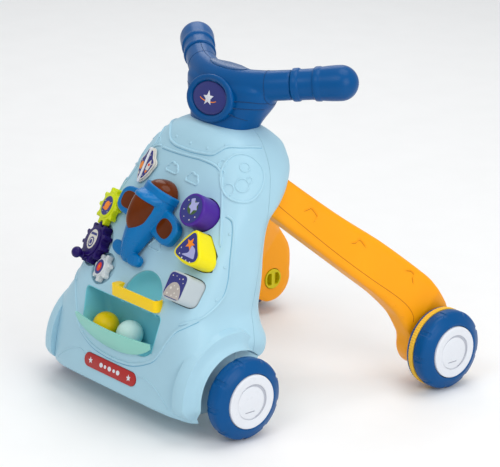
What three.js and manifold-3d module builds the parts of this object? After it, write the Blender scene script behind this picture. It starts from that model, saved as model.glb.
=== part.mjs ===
// Push-along baby walker: activity panel body on four wheels, splayed rear legs, handlebar.
// Units are millimetres. +Z is up, -Y is the front of the panel, the walking child stands on the +Y side.
// Working coordinates put Y = 0 on the front axle and Z = 0 on the floor; the whole group is shifted
// at the end so that the origin is the middle of the footprint.
import * as THREE from 'three';
import * as BufferGeometryUtils from 'three/addons/utils/BufferGeometryUtils.js';
import Module from 'manifold-3d';

const wasm = await Module();
wasm.setup();

// ------------------------------------------------------------------ driving dimensions
const WHEEL_R = 55.5;            // all four wheels
const WHEELBASE = 330;           // front axle to rear axle
const AXLE_Z = WHEEL_R;
const AXLE_R = 3;
const FRONT_HUB_X = 190;         // outer face of the front wheels
const REAR_HUB_X = 229;          // outer face of the rear wheels
const WALL = 3;                  // moulded wall of the body shells
const GAP = 0.4;                 // fit gap between separate mouldings
const LEAN = Math.PI / 6;        // upper panel leans back 30 degrees
const KNEE_Y = -63, KNEE_Z = 155;// where the upper panel plane starts
const Y_SHIFT = -147.03;         // working Y to footprint-centred Y

// body sections: height, half width, front Y, rear Y, squareness of the section
const BODY = [
  [31, 126, -80, 46, 7],
  [38, 139, -88, 56, 6.6],
  [62, 149, -85, 66, 5.8],
  [90, 153, -78.5, 77, 5.5],
  [112, 152, -73, 80, 5.5],
  [133, 144, -68, 77, 5.2],
  [155, 133, -63, 84, 4.6],
  [185, 131, -45.7, 91, 4.2],
  [228, 127, -20.9, 98, 3.7],
  [262, 123, -1.2, 110, 3.4],
  [284, 118, 11.5, 138, 3.35],
  [306, 112.5, 24.2, 155, 3.3],
  [328, 104, 36.9, 163, 3.3],
  [347, 89, 48, 164, 3.2],
  [361, 74, 56.5, 154, 3.1],
  [371, 56, 67, 141, 2.8],
  [376, 38, 78, 128, 2.6],
];
const FENDER = [[10, 0.13], [8.5, 0.06]];   // for the two lowest sections: drop, widening
const PART_Y = 12, PART_SLOPE = 0.30; // parting plane of the two body shells: Y = PART_Y + PART_SLOPE * (Z - 33)

// leg: side view line from shoulder to foot, and how it splays outwards
const LEG_P = [80, 310.4];       // (Y, Z) of the centre line at the shoulder
const LEG_DIR = [0.749, -0.663];
const LEG_UPPER = [[24, 35.5], [90, 37.2], [140, 39.4], [205, 45], [250, 46.2], [292, 46.3]];   // along the leg, above its line
const LEG_LOWER = [[311, -34.2], [289, -24], [271, -20.5], [250, -18.2], [24, -17.5]];          // along the leg, below its line
const LEG_X0 = [62, 97];         // inner and outer X at the shoulder
const LEG_X1 = [149, 182];       // inner and outer X at the foot
const FOOT_R = 36;

// handle
const BAR = [[0, 112, 426], [30, 115, 427], [60, 124.5, 430], [90, 142, 434.5], [120, 163, 439], [148, 183, 443], [160, 191.6, 444.7]];
const COLUMN = [ // height, half width, front Y, rear Y
  [358, 49, 72, 142],
  [370, 53.5, 69.5, 146],
  [382, 59.5, 71.5, 152],
  [393, 67, 75.5, 157],
  [404, 74, 80.5, 159],
  [414, 78, 84.5, 156],
  [424, 77.5, 89, 150],
  [433, 69, 94, 144],
  [441, 54, 98.5, 138],
  [446.5, 30, 106, 130],
];
const GRIP_START = 96;           // X where the grips start
const GRIP_R = [[96, 21.2], [98, 22.2], [103, 22.2], [107, 20.2], [121, 20.3], [126, 22.4], [148, 22.8]];

// toys
const GEAR_MODULE = 4.9;
const GEAR_TEETH = { lime: 10, purple: 11, grey: 7 };
const BALL_R = 18.2;

// colours
const C = {
  body: 0xb3d6e6, blue: 0x0a5ca6, plane: 0x1272bd, orange: 0xffa50a, yellow: 0xffd200, lemon: 0xf3ee2c,
  lime: 0xd3df00, purple: 0x4a2a92, deep: 0x3a1f86, grey: 0xdfe3e6, mint: 0x97cfc0, white: 0xf2f3f7,
  red: 0xba3f3c, lens: 0x6a2e0c, band: 0xf2c84b, steel: 0xb8bcc2, board: 0x2d7a46, black: 0x2a2c30, navy: 0x3b3a78,
  cap: 0x5e7fae,
};
const mat = (color, roughness = 0.42, metalness = 0) => new THREE.MeshStandardMaterial({ color, roughness, metalness });

// ------------------------------------------------------------------ solid helpers
const keepLargest = (m) => m.decompose().sort((a, b) => b.volume() - a.volume())[0];
function toManifold(geometry, tolerance = 1e-4) {
  let g = geometry.clone();
  for (const k of Object.keys(g.attributes)) if (k !== 'position') g.deleteAttribute(k);
  g = BufferGeometryUtils.mergeVertices(g, tolerance);
  const idx = Array.from(g.index.array), out = [];
  for (let i = 0; i < idx.length; i += 3) {
    const [a, b, c] = [idx[i], idx[i + 1], idx[i + 2]];
    if (a !== b && b !== c && a !== c) out.push(a, b, c);
  }
  const m = new wasm.Manifold(new wasm.Mesh({
    numProp: 3, vertProperties: new Float32Array(g.attributes.position.array), triVerts: new Uint32Array(out),
  }));
  return m;
}
function toGeometry(m) {
  const mesh = m.getMesh();
  const g = new THREE.BufferGeometry();
  const n = mesh.numProp, v = mesh.vertProperties, p = new Float32Array((v.length / n) * 3);
  for (let i = 0; i < v.length / n; i++) { p[3 * i] = v[n * i]; p[3 * i + 1] = v[n * i + 1]; p[3 * i + 2] = v[n * i + 2]; }
  g.setAttribute('position', new THREE.BufferAttribute(p, 3));
  g.setIndex(new THREE.BufferAttribute(new Uint32Array(mesh.triVerts), 1));
  const flat = g.toNonIndexed();
  flat.computeVertexNormals();
  return flat;
}
const signedVolume = (pos, idx) => {
  let v = 0;
  const a = new THREE.Vector3(), b = new THREE.Vector3(), c = new THREE.Vector3();
  for (let i = 0; i < idx.length; i += 3) {
    a.fromArray(pos, idx[i] * 3); b.fromArray(pos, idx[i + 1] * 3); c.fromArray(pos, idx[i + 2] * 3);
    v += a.dot(b.cross(c)) / 6;
  }
  return v;
};
// closed solid through a list of rings that all have the same number of points
function loft(rings) {
  const n = rings[0].length, pos = [], idx = [];
  rings.forEach((r) => r.forEach((p) => pos.push(p[0], p[1], p[2])));
  for (let k = 0; k < rings.length - 1; k++) for (let i = 0; i < n; i++) {
    const j = (i + 1) % n, a = k * n + i, b = k * n + j, c = a + n, d = b + n;
    idx.push(a, b, d, a, d, c);
  }
  const cap = (k, flip) => {
    const r = rings[k], c = [0, 0, 0];
    r.forEach((p) => { c[0] += p[0] / n; c[1] += p[1] / n; c[2] += p[2] / n; });
    const ci = pos.length / 3; pos.push(...c);
    for (let i = 0; i < n; i++) { const j = (i + 1) % n; flip ? idx.push(ci, k * n + j, k * n + i) : idx.push(ci, k * n + i, k * n + j); }
  };
  cap(0, true); cap(rings.length - 1, false);
  if (signedVolume(pos, idx) < 0) for (let i = 0; i < idx.length; i += 3) [idx[i + 1], idx[i + 2]] = [idx[i + 2], idx[i + 1]];
  const g = new THREE.BufferGeometry();
  g.setAttribute('position', new THREE.BufferAttribute(new Float32Array(pos), 3));
  g.setIndex(idx);
  return toManifold(g);
}
const superRing = (a, yf, yr, n, z, count) => {
  const yc = (yf + yr) / 2, b = (yr - yf) / 2, r = [];
  for (let i = 0; i < count; i++) {
    const t = (2 * Math.PI * (i + 0.5)) / count, c = Math.cos(t), s = Math.sin(t);
    r.push([a * Math.sign(c) * Math.abs(c) ** (2 / n), yc + b * Math.sign(s) * Math.abs(s) ** (2 / n), z]);
  }
  return r;
};
const box = (x0, x1, y0, y1, z0, z1) => {
  const g = new THREE.BoxGeometry(x1 - x0, y1 - y0, z1 - z0);
  g.translate((x0 + x1) / 2, (y0 + y1) / 2, (z0 + z1) / 2);
  return toManifold(g);
};
// solid of revolution round the X axis through (y, z); profile is a list of [x, r]
function latheX(profile, y, z, seg = 24, closed = false) {
  const pts = profile.map(([x, r]) => new THREE.Vector2(r, x));
  if (closed) pts.push(pts[0].clone());
  const g = new THREE.LatheGeometry(pts, seg);
  g.rotateY(Math.PI / seg);        // a flat, not a corner, looks down
  g.rotateZ(-Math.PI / 2);         // lathe axis +Y becomes +X
  g.translate(0, y, z);
  return orient(g);
}
function orient(geometry) {
  let g = geometry.clone();
  for (const k of Object.keys(g.attributes)) if (k !== 'position') g.deleteAttribute(k);
  g = BufferGeometryUtils.mergeVertices(g, 1e-4);
  const idx = Array.from(g.index.array);
  if (signedVolume(g.attributes.position.array, idx) < 0) {
    for (let i = 0; i < idx.length; i += 3) [idx[i + 1], idx[i + 2]] = [idx[i + 2], idx[i + 1]];
    g.setIndex(idx);
  }
  return toManifold(g);
}
// prism from a 2-D outline, extruded along +Z from z0 to z1
function prism(points, z0, z1) {
  const s = new THREE.Shape(points.map((p) => new THREE.Vector2(p[0], p[1])));
  const g = new THREE.ExtrudeGeometry(s, { depth: z1 - z0, bevelEnabled: false, curveSegments: 8 });
  g.translate(0, 0, z0);
  return orient(g);
}
const ellipse = (cx, cy, a, b, n = 24) => Array.from({ length: n }, (_, i) => {
  const t = (2 * Math.PI * (i + 0.5)) / n; return [cx + a * Math.cos(t), cy + b * Math.sin(t)];
});
function roundedPolygon(corners, r, n = 4) {
  const out = [];
  corners.forEach((c, i) => {
    const p = corners[(i + corners.length - 1) % corners.length], q = corners[(i + 1) % corners.length];
    const u = [p[0] - c[0], p[1] - c[1]], v = [q[0] - c[0], q[1] - c[1]];
    const lu = Math.hypot(...u), lv = Math.hypot(...v);
    const k = Math.min(r, lu / 2.2, lv / 2.2);
    const a = [c[0] + (u[0] / lu) * k, c[1] + (u[1] / lu) * k], b = [c[0] + (v[0] / lv) * k, c[1] + (v[1] / lv) * k];
    for (let j = 0; j <= n; j++) {
      const t = j / n;
      out.push([(1 - t) ** 2 * a[0] + 2 * t * (1 - t) * c[0] + t * t * b[0], (1 - t) ** 2 * a[1] + 2 * t * (1 - t) * c[1] + t * t * b[1]]);
    }
  });
  return out;
}
const place = (m, matrix) => m.transform(matrix.elements);
const mirrorX = (m) => m.mirror([1, 0, 0]);

const root = new THREE.Group();
const addNode = (parent, name, manifold, material) => {
  const once = keepLargest(toManifold(toGeometry(keepLargest(manifold).simplify(0.05)), 4e-3)).simplify(0.05);
  const whole = keepLargest(toManifold(toGeometry(once), 2e-3));
  const mesh = new THREE.Mesh(toGeometry(whole), material);
  mesh.name = name;
  parent.add(mesh);
  return mesh;
};

// panel frame: local x = +X, local y runs up the leaning panel, local z points out of it
const PANEL = new THREE.Matrix4().makeRotationX(Math.PI / 2 - LEAN).setPosition(0, KNEE_Y, KNEE_Z);
const onPanel = (m) => place(m, PANEL);

// ------------------------------------------------------------------ body shells
const RING = 24;
const bodySolid = (d) => {
  const rows = BODY.map((b, k) => {
    const last = BODY.length - 1;
    const z = k === 0 ? b[0] + d : k === last ? b[0] - d : b[0] + (k < 3 ? d * 0.5 : k > last - 3 ? -d * 0.8 : 0);
    const [drop, widen] = FENDER[k] || [0, 0];   // the bottom corners reach down and out in front of the wheels
    return superRing(b[1] - d, b[2] + d, b[3] - d, b[4], z, RING).map((p) => {
      const q = Math.min(1, Math.abs(p[0] / 118)) ** 3 * Math.max(0, Math.min(1, (p[1] + 86) / 32));
      return [p[0] * (1 + widen * q), p[1], p[2] - drop * q];
    });
  });
  return loft(rows);
};
const wheelWell = (side, d) => {
  const x0 = 121 - d;
  const cyl = latheX([[x0, 0], [x0, 60.5 + d], [230, 60.5 + d], [230, 0]], 0, AXLE_Z, 28);
  const notch = box(x0, 230, 0, 160, -20, 96 + d);
  const w = cyl.add(notch);
  return side > 0 ? w : mirrorX(w);
};
const outer = bodySolid(0).subtract(wheelWell(1, 0)).subtract(wheelWell(-1, 0));
const inner = bodySolid(WALL).subtract(wheelWell(1, WALL)).subtract(wheelWell(-1, WALL));
const cavity = bodySolid(WALL + GAP).subtract(wheelWell(1, WALL + GAP)).subtract(wheelWell(-1, WALL + GAP));

// leg solids are needed first, because the shoulders are cut to receive them
const legOutline = (d) => {
  const [py, pz] = LEG_P, [dy, dz] = LEG_DIR, m = [-dz, dy]; // m points up and back, square to the leg
  const at = (t, q) => [py + dy * t + m[0] * q, pz + dz * t + m[1] * q];
  const pts = [];
  pts.push(at(18 - d, -12), at(18 - d, 30));
  for (const [t, q] of LEG_UPPER) pts.push(at(t === 24 ? t - d : t, q + d));
  // knee and round foot
  const A = [WHEELBASE, AXLE_Z], R = FOOT_R + d;
  pts.push([357.5 + d * 0.7, 112 + d * 0.7], [364 + d, 103], [366.5 + d, 88]);
  for (let a = 10; a >= -190; a -= 20) pts.push([A[0] + R * Math.cos((a * Math.PI) / 180), A[1] + R * Math.sin((a * Math.PI) / 180)]);
  pts.push([293.3 - d, 74]);
  for (const [t, q] of LEG_LOWER) pts.push(at(t === 24 ? t - d : t, q - d));
  return pts;
};
const legShear = (m, innerX, outerX, xa, xb) => {
  // maps the unit thickness (0 inner, 1 outer) to X, sliding outwards along the leg
  return m.warp((v) => {
    const t = (v[1] - LEG_P[0]) * LEG_DIR[0] + (v[2] - LEG_P[1]) * LEG_DIR[1];
    let k = (t - 20) / (318 - 20);
    k = Math.max(0, Math.min(1, k));
    const lo = innerX + (xa - innerX) * k, hi = outerX + (xb - outerX) * k;
    v[0] = lo + (hi - lo) * v[0];
  });
};
const legSolid = (d) => {
  const outline = legOutline(d);
  const s = new THREE.Shape(outline.map((p) => new THREE.Vector2(p[0], p[1])));
  const g = new THREE.ExtrudeGeometry(s, { depth: 1, bevelEnabled: false });
  // local (x, y, z) = (Y, Z, thickness) to world (X = thickness, Y, Z)
  g.applyMatrix4(new THREE.Matrix4().set(0, 0, 1, 0, 1, 0, 0, 0, 0, 1, 0, 0, 0, 0, 0, 1));
  let m = orient(g);
  // long edges need cross lines before they can bend: cut the solid into slabs and put it back together
  const slabs = [];
  const cuts = [-60, 20, 120, 220, 318, 460];
  for (let i = 0; i < cuts.length - 1; i++) {
    const mid = (cuts[i] + cuts[i + 1]) / 2, half = (cuts[i + 1] - cuts[i]) / 2 + 0.01;
    const b = new THREE.BoxGeometry(40, half * 2, 400);
    const ang = Math.atan2(LEG_DIR[1], LEG_DIR[0]);
    b.translate(0, mid, 0);
    b.rotateX(ang);
    b.translate(0, LEG_P[0], LEG_P[1]);
    slabs.push(m.intersect(toManifold(b)));
  }
  const w = slabs.map((q) => legShear(q, LEG_X0[0] - d, LEG_X0[1] + d, LEG_X1[0] - d, LEG_X1[1] + d));
  let r = w[0];
  for (let i = 1; i < w.length; i++) r = r.add(w[i]);
  return r;
};
const legOuter = legSolid(0);
const legHole = legSolid(GAP);

// handle post on top of the body, inside the handle column
const postRing = (z, a, b, yc) => superRing(a, yc - b, yc + b, 2.4, z, 14);
const post = loft([postRing(366, 34, 26, 112), postRing(398, 30, 22, 112)]);
const postHollow = loft([postRing(354, 31, 23, 112), postRing(395, 27, 19, 112)]);

// sockets for the three shape blocks, in the panel frame: centre x, centre y along the panel
const BLOCK_AT = { round: [75, 144.5], triangle: [97, 94], square: [100, 44.7] };
const BLOCK_TOP = { round: 20, triangle: 17, square: 16.5 };   // height of the faces above the panel
const SOCKET_DEPTH = { round: 13, triangle: 16, square: 19 };
const ROUND_R = 22.5;
const TRI = roundedPolygon([[-0.5, 31], [-16, 14], [-28, -10], [-5, -17], [25.5, -17.5], [16.5, 10]], 11, 3);
const SQR = roundedPolygon([[-18.5, 18.7], [18.5, 18.7], [18.5, -18.7], [-18.5, -18.7]], 10, 4);
const grow = (pts, d) => { // offset of a convex outline from its middle
  const cx = pts.reduce((s, p) => s + p[0], 0) / pts.length, cy = pts.reduce((s, p) => s + p[1], 0) / pts.length;
  return pts.map(([x, y]) => { const l = Math.hypot(x - cx, y - cy); return [x + ((x - cx) / l) * d, y + ((y - cy) / l) * d]; });
};
const OUTLINES = { round: ellipse(0, 0, ROUND_R, ROUND_R, 24), triangle: TRI, square: SQR };
const sockets = Object.keys(BLOCK_AT).map((k) => {
  const [x, y] = BLOCK_AT[k];
  const mv = (pts) => pts.map((p) => [p[0] + x, p[1] + y]);
  return {
    cup: onPanel(prism(mv(grow(OUTLINES[k], 2.7)), -SOCKET_DEPTH[k] - 2.4, 6)),
    bore: onPanel(prism(mv(grow(OUTLINES[k], 0.5)), -SOCKET_DEPTH[k], 40)),
  };
});

// gear train: frame tilted 14 degrees outwards on the left of the panel
const GEAR_FRAME = new THREE.Matrix4().multiplyMatrices(PANEL,
  new THREE.Matrix4().makeTranslation(-97, 56.5, -5).multiply(new THREE.Matrix4().makeRotationY((-14 * Math.PI) / 180)));
const inGear = (m) => place(m, GEAR_FRAME);
const GP = {}; // pitch radii
for (const k in GEAR_TEETH) GP[k] = (GEAR_MODULE * GEAR_TEETH[k]) / 2;
const GEAR_POS = {
  purple: [0, 0],
  lime: [0.8, GP.lime + GP.purple + 0.7],
};
{
  const d = GP.purple + GP.grey + 0.7, a = (-38 * Math.PI) / 180;
  GEAR_POS.grey = [d * Math.cos(a), d * Math.sin(a)];
}
const gearWells = [
  { cup: inGear(prism(ellipse(...GEAR_POS.purple, 35.2, 35.2, 24), -8.6, 6)), bore: inGear(prism(ellipse(...GEAR_POS.purple, 32.4, 32.4, 24), -6, 40)) },
  { cup: inGear(prism(ellipse(...GEAR_POS.grey, 24.6, 24.6, 24), -12.6, 6)), bore: inGear(prism(ellipse(...GEAR_POS.grey, 21.8, 21.8, 24), -10, 40)) },
];

// ball tray and arch niche openings
const TRAY = { x: 80, z0: 85.4, z1: 155, y1: -29, sill: 96 };   // sill: lower edge of the opening in the shell, behind the visor
const NICHE = { x: 31, y: 14, r: 37 };  // panel frame: centre and radius of the arch
const trayCut = (d) => prism(roundedPolygon([[-TRAY.x - d, TRAY.z1 + d], [-TRAY.x + 8 - d, TRAY.z0 + 8], [-52, TRAY.z0 - d], [52, TRAY.z0 - d], [TRAY.x - 8 + d, TRAY.z0 + 8], [TRAY.x + d, TRAY.z1 + d]], 7, 3), 0, 1);
const mouthCut = prism(roundedPolygon([[-TRAY.x, TRAY.z1], [-TRAY.x + 6, TRAY.sill + 8], [-58, TRAY.sill], [58, TRAY.sill], [TRAY.x - 6, TRAY.sill + 8], [TRAY.x, TRAY.z1]], 7, 3), 0, 1);
const standUp = (m, y0, y1) => // prism drawn in X-Z, extruded from y0 to y1
  place(m, new THREE.Matrix4().set(1, 0, 0, 0, 0, 0, -(y1 - y0), y1, 0, 1, 0, 0, 0, 0, 0, 1));
const nicheOutline = (d) => {
  const p = [];
  for (let a = 0; a <= 180; a += 15) p.push([NICHE.x + (NICHE.r + d) * Math.cos((a * Math.PI) / 180), NICHE.y + (NICHE.r + d) * Math.sin((a * Math.PI) / 180)]);
  p.push([NICHE.x - NICHE.r - d, -6], [NICHE.x + NICHE.r + d, -6]);
  return p;
};

// airplane: outline in the panel frame, nose up to the right
const PLANE_AT = [-8.5, 107];
const PLANE_ROT = (-12 * Math.PI) / 180;
const PLANE_LIFT = 3.4;          // clearance below the airplane, for its press travel
const planeMatrix = new THREE.Matrix4().multiplyMatrices(PANEL, new THREE.Matrix4().makeTranslation(PLANE_AT[0], PLANE_AT[1], PLANE_LIFT).multiply(new THREE.Matrix4().makeRotationZ(PLANE_ROT)).multiply(new THREE.Matrix4().makeScale(1.1, 1.1, 0.92)));

// flip book
const BOOK_AT = [-62, 178];
const bookMatrix = new THREE.Matrix4().multiplyMatrices(PANEL, new THREE.Matrix4().makeTranslation(BOOK_AT[0], BOOK_AT[1], -1.2).multiply(new THREE.Matrix4().makeRotationY(-0.06)));

// the same pockets grown by the fit gap, to keep the tray and chute clear of them
const pocketClear = [
  ...Object.keys(BLOCK_AT).map((k) => onPanel(prism(grow(OUTLINES[k], 3.1).map((p) => [p[0] + BLOCK_AT[k][0], p[1] + BLOCK_AT[k][1]]), -SOCKET_DEPTH[k] - 2.8, 6))),
  inGear(prism(ellipse(...GEAR_POS.purple, 35.8, 35.8, 24), -9, 6)), inGear(prism(ellipse(...GEAR_POS.grey, 25.2, 25.2, 24), -13, 6)),
];
let shell = outer.subtract(inner);
for (const s of [...sockets, ...gearWells]) shell = shell.add(s.cup.intersect(outer));
shell = shell.add(post);
for (const s of [...sockets, ...gearWells]) shell = shell.subtract(s.bore);
shell = shell.subtract(postHollow);
shell = shell.subtract(legHole).subtract(mirrorX(legHole));
shell = shell.subtract(standUp(mouthCut, -130, -44));
shell = shell.subtract(onPanel(prism(nicheOutline(0), -14, 30)));
// axle holes
const axleHole = latheX([[-240, 0], [-240, AXLE_R + 0.3], [240, AXLE_R + 0.3], [240, 0]], 0, AXLE_Z, 12);
shell = shell.subtract(axleHole);
// holes for the airplane's press stem, the flip book's feet and the gear pins
const planeStemHole = place(latheLike(9, -20, 20, 16).translate([0, -24, 0]), planeMatrix);
shell = shell.subtract(planeStemHole);
function latheLike(r, z0, z1, n = 16) { return prism(ellipse(0, 0, r, r, n), z0, z1); }
const PINS = {
  lime_gear_pin: [GEAR_POS.lime, -12, 9.2], crank_gear_pin: [GEAR_POS.purple, -13, 9.2], grey_gear_pin: [GEAR_POS.grey, -17, 1.4],
};
for (const k in PINS) {
  const [[x, y]] = PINS[k];
  shell = shell.subtract(inGear(prism(ellipse(x, y, 3.4, 3.4, 12), -30, 30)));
}
// name plate pocket low on the front
const plateOutline = (d) => {
  const p = [], w = 55 + d, r = 9.5 + d;
  for (let a = -90; a <= 90; a += 22.5) p.push([w - 9.5 - d + r * Math.cos((a * Math.PI) / 180), r * Math.sin((a * Math.PI) / 180)]);
  for (let a = 90; a <= 270; a += 22.5) p.push([-(w - 9.5 - d) + r * Math.cos((a * Math.PI) / 180), r * Math.sin((a * Math.PI) / 180)]);
  return p;
};
const PLATE_M = new THREE.Matrix4().makeRotationX(Math.PI / 2 - Math.atan(0.2326)).setPosition(0, -84.6, 63);
shell = shell.subtract(place(prism(plateOutline(GAP), -1.2, 12), PLATE_M));
// battery door opening and switch slot in the back
const DOOR = { x: 37, z0: 118, z1: 190 };
shell = shell.subtract(box(-DOOR.x, DOOR.x, 40, 140, DOOR.z0, DOOR.z1));
const SWITCH = { x: 0, z: 232 };
shell = shell.subtract(box(-11, 11, 70, 140, SWITCH.z - 4, SWITCH.z + 4));

const partPlane = (d) => { // everything in front of the parting plane
  const g = new THREE.BoxGeometry(600, 600, 900);
  const a = Math.atan(PART_SLOPE);
  g.translate(0, -300 - d, 0);
  g.rotateX(-a);
  g.translate(0, PART_Y, 33);
  return toManifold(g);
};
const frontShell = keepLargest(shell.intersect(partPlane(0.15)));
const rearCover = keepLargest(shell.subtract(partPlane(-0.15)));
addNode(root, 'front_shell', frontShell, mat(C.body, 0.4));
addNode(root, 'rear_cover', rearCover, mat(C.body, 0.4));

// ------------------------------------------------------------------ tray, chute, lip, visor, plate
{
  const w = 2.4;
  let tray = box(-TRAY.x - w, TRAY.x + w, -110, TRAY.y1 + w, TRAY.z0 - w, TRAY.z1 + w)
    .subtract(standUp(trayCut(0), -130, TRAY.y1));
  tray = tray.subtract(box(NICHE.x - NICHE.r + 3, NICHE.x + NICHE.r - 3, -100, TRAY.y1 - 4, 140, 175)); // ball drop
  tray = tray.intersect(cavity);
  for (const c of pocketClear) tray = tray.subtract(c);
  tray = keepLargest(tray);
  addNode(root, 'ball_tray', tray, mat(0x86b6c4, 0.45));

  const nicheBody = onPanel(prism(nicheOutline(2.4), -34, 30)).subtract(onPanel(prism(nicheOutline(0), -31.6, 31)));
  let chute = nicheBody.intersect(cavity).subtract(box(-200, 200, -200, 200, 0, TRAY.z1 + w + GAP));
  for (const c of pocketClear) chute = chute.subtract(c);
  chute = keepLargest(chute);
  addNode(root, 'ball_chute', chute, mat(0x86b6c4, 0.45));

  // yellow lip: a band across the foot of the arch, standing proud of the panel
  const lip = box(-21, 75, -68, -52, 160.5, 174.5).subtract(box(-18, 72, -65, -40, 150, 190)).add(box(-21, 75, -68, -65, 160.5, 174.5));
  addNode(root, 'ball_chute_lip', keepLargest(lip.subtract(bodySolid(-GAP))), mat(C.yellow, 0.4));

  // mint visor: a crescent scoop closing the lower front of the tray
  const arc = [];
  for (let i = 0; i <= 12; i++) { const u = i / 12; arc.push([82 - 164 * u, 119 - 28 * (1 - (2 * u - 1) ** 2) ** 0.45]); }
  const face = standUp(prism([...arc, [-82, 120.5], [82, 120.5]], 0, 1), -120, -40);
  const rings = (d) => {
    const out = [];
    for (const [z, dep] of [[90, 80], [100, 86.5], [110, 90], [121, 91.5]]) {
      const r = [];
      for (let i = 0; i <= 12; i++) { const u = -1 + i / 6; r.push([u * (81 - d), -(dep - d) + 10 * u * u, z]); }
      r.push([81 - d, -40, z], [-(81 - d), -40, z]);
      out.push(r);
    }
    return loft(out);
  };
  const visor = rings(0).subtract(rings(2.6)).intersect(face).subtract(bodySolid(-GAP)).add(box(0, 0.001, 0, 0.001, 0, 0.001).translate([0, -500, 0]).subtract(box(-1, 1, -501, -499, -1, 1)));
  addNode(root, 'ball_tray_visor', keepLargest(visor), mat(C.mint, 0.4));

  const plate = place(prism(plateOutline(0), -0.8, 1.6), PLATE_M);
  addNode(root, 'name_plate', plate, mat(C.red, 0.45));
}

// ------------------------------------------------------------------ inside the body
{
  const box6 = box(-34, 34, 36, 70, 122, 186).subtract(box(-32, 32, 38, 80, 124, 184));
  addNode(root, 'battery_box', box6.intersect(cavity), mat(C.body, 0.5));
  for (const [i, x] of [[1, -20], [2, 0], [3, 20]]) {
    const cell = prism(ellipse(x, 54, 7.1, 7.1, 12), 129, 177).add(prism(ellipse(x, 54, 2.7, 2.7, 8), 176, 179.4));
    addNode(root, `battery_cell_${i}`, cell, mat(C.black, 0.5, 0.3));
  }
  const skin = outer.subtract(inner);
  let door = skin.intersect(box(-DOOR.x + GAP, DOOR.x - GAP, 40, 140, DOOR.z0 + GAP, DOOR.z1 - GAP));
  const screwY = 200;
  door = door.subtract(place(prism(ellipse(0, 0, 2.1, 2.1, 12), -60, 60), new THREE.Matrix4().makeRotationX(-Math.PI / 2).setPosition(0, 84, 182)));
  addNode(root, 'battery_door', keepLargest(door), mat(C.body, 0.45));
  const screw = latheLike(1.7, -12, 3.6, 12).add(latheLike(3.6, 3.2, 5.4, 12))
    .subtract(box(-2.6, 2.6, -0.5, 0.5, 4.4, 6)).subtract(box(-0.5, 0.5, -2.6, 2.6, 4.4, 6));
  addNode(root, 'battery_door_screw', place(screw, new THREE.Matrix4().makeRotationX(-Math.PI / 2).setPosition(0, 87.9, 182)), mat(C.steel, 0.3, 0.9));
  addNode(root, 'circuit_board', onPanel(box(-34, 34, 78, 132, -30, -28.4)), mat(C.board, 0.5));
  const sp = place(latheLike(20, 0, 5, 20).add(latheLike(13, -9, 1, 16)), new THREE.Matrix4().makeRotationX(-Math.PI / 2).setPosition(0, 110, 290));
  addNode(root, 'speaker', sp, mat(C.black, 0.5));
  const yb = 97.5;
  addNode(root, 'power_switch', box(-7.5, -0.5, yb - 8, yb + 3, SWITCH.z - 3.4, SWITCH.z + 3.4).add(box(-9.5, 1.5, yb - 11, yb - 7, SWITCH.z - 5, SWITCH.z + 5)), mat(C.white, 0.45));
}

// ------------------------------------------------------------------ handle
const barCurve = (xmax) => BAR.filter((p) => p[0] <= xmax);
const curve = new THREE.CatmullRomCurve3(
  [...BAR.slice(1).reverse().map((p) => new THREE.Vector3(-p[0], p[1], p[2])), ...BAR.map((p) => new THREE.Vector3(...p))], false, 'centripetal');
function ringsAlong(list, radius, n = 16) {
  // list: X positions; radius(x) gives the ring's radius; returns rings square to the bar
  const samples = 400, pts = [], tan = [];
  for (let i = 0; i <= samples; i++) { pts.push(curve.getPoint(i / samples)); tan.push(curve.getTangent(i / samples)); }
  return list.map(([x, shift]) => {
    let k = 0;
    for (let i = 0; i <= samples; i++) if (Math.abs(pts[i].x - x) < Math.abs(pts[k].x - x)) k = i;
    const t = tan[k].clone().normalize(), c = pts[k].clone();
    if (shift) c.addScaledVector(t, shift);
    const up = new THREE.Vector3(0, 0, 1), side = new THREE.Vector3().crossVectors(t, up).normalize();
    const v = new THREE.Vector3().crossVectors(side, t).normalize(), ring = [];
    const r = radius(x, shift || 0);
    for (let i = 0; i < n; i++) {
      const a = (2 * Math.PI * (i + 0.5)) / n, p = c.clone().addScaledVector(side, r * Math.cos(a)).addScaledVector(v, r * Math.sin(a));
      ring.push([p.x, p.y, p.z]);
    }
    return ring;
  });
}
const handleSolid = (d) => {
  const col = loft(COLUMN.map(([z, a, yf, yr], k) => superRing(a - d, yf + d, yr - d, 2.5, k === COLUMN.length - 1 ? z - d : z, 16)));
  const xs = [-GRIP_START, -60, -30, 0, 30, 60, GRIP_START].map((x) => [x, 0]);
  const bar = loft(ringsAlong(xs, (x) => (Math.abs(x) < 10 ? 22.3 : Math.abs(x) < 40 ? 21.3 : 20.2) - d, 16));
  return col.add(bar);
};
const ySplit = (d) => { // everything in front of the bar's middle surface
  const p = [[-GRIP_START - 90, -200]];
  const pts = [[-160, 191.6], ...BAR.slice(1, -1).reverse().map((q) => [-q[0], q[1]]), ...BAR.map((q) => [q[0], q[1]])];
  pts.forEach((q) => p.push([q[0], q[1] - d]));
  p.push([160, -200]);
  p[0][0] = -160;
  return prism(p, 300, 520);
};
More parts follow.
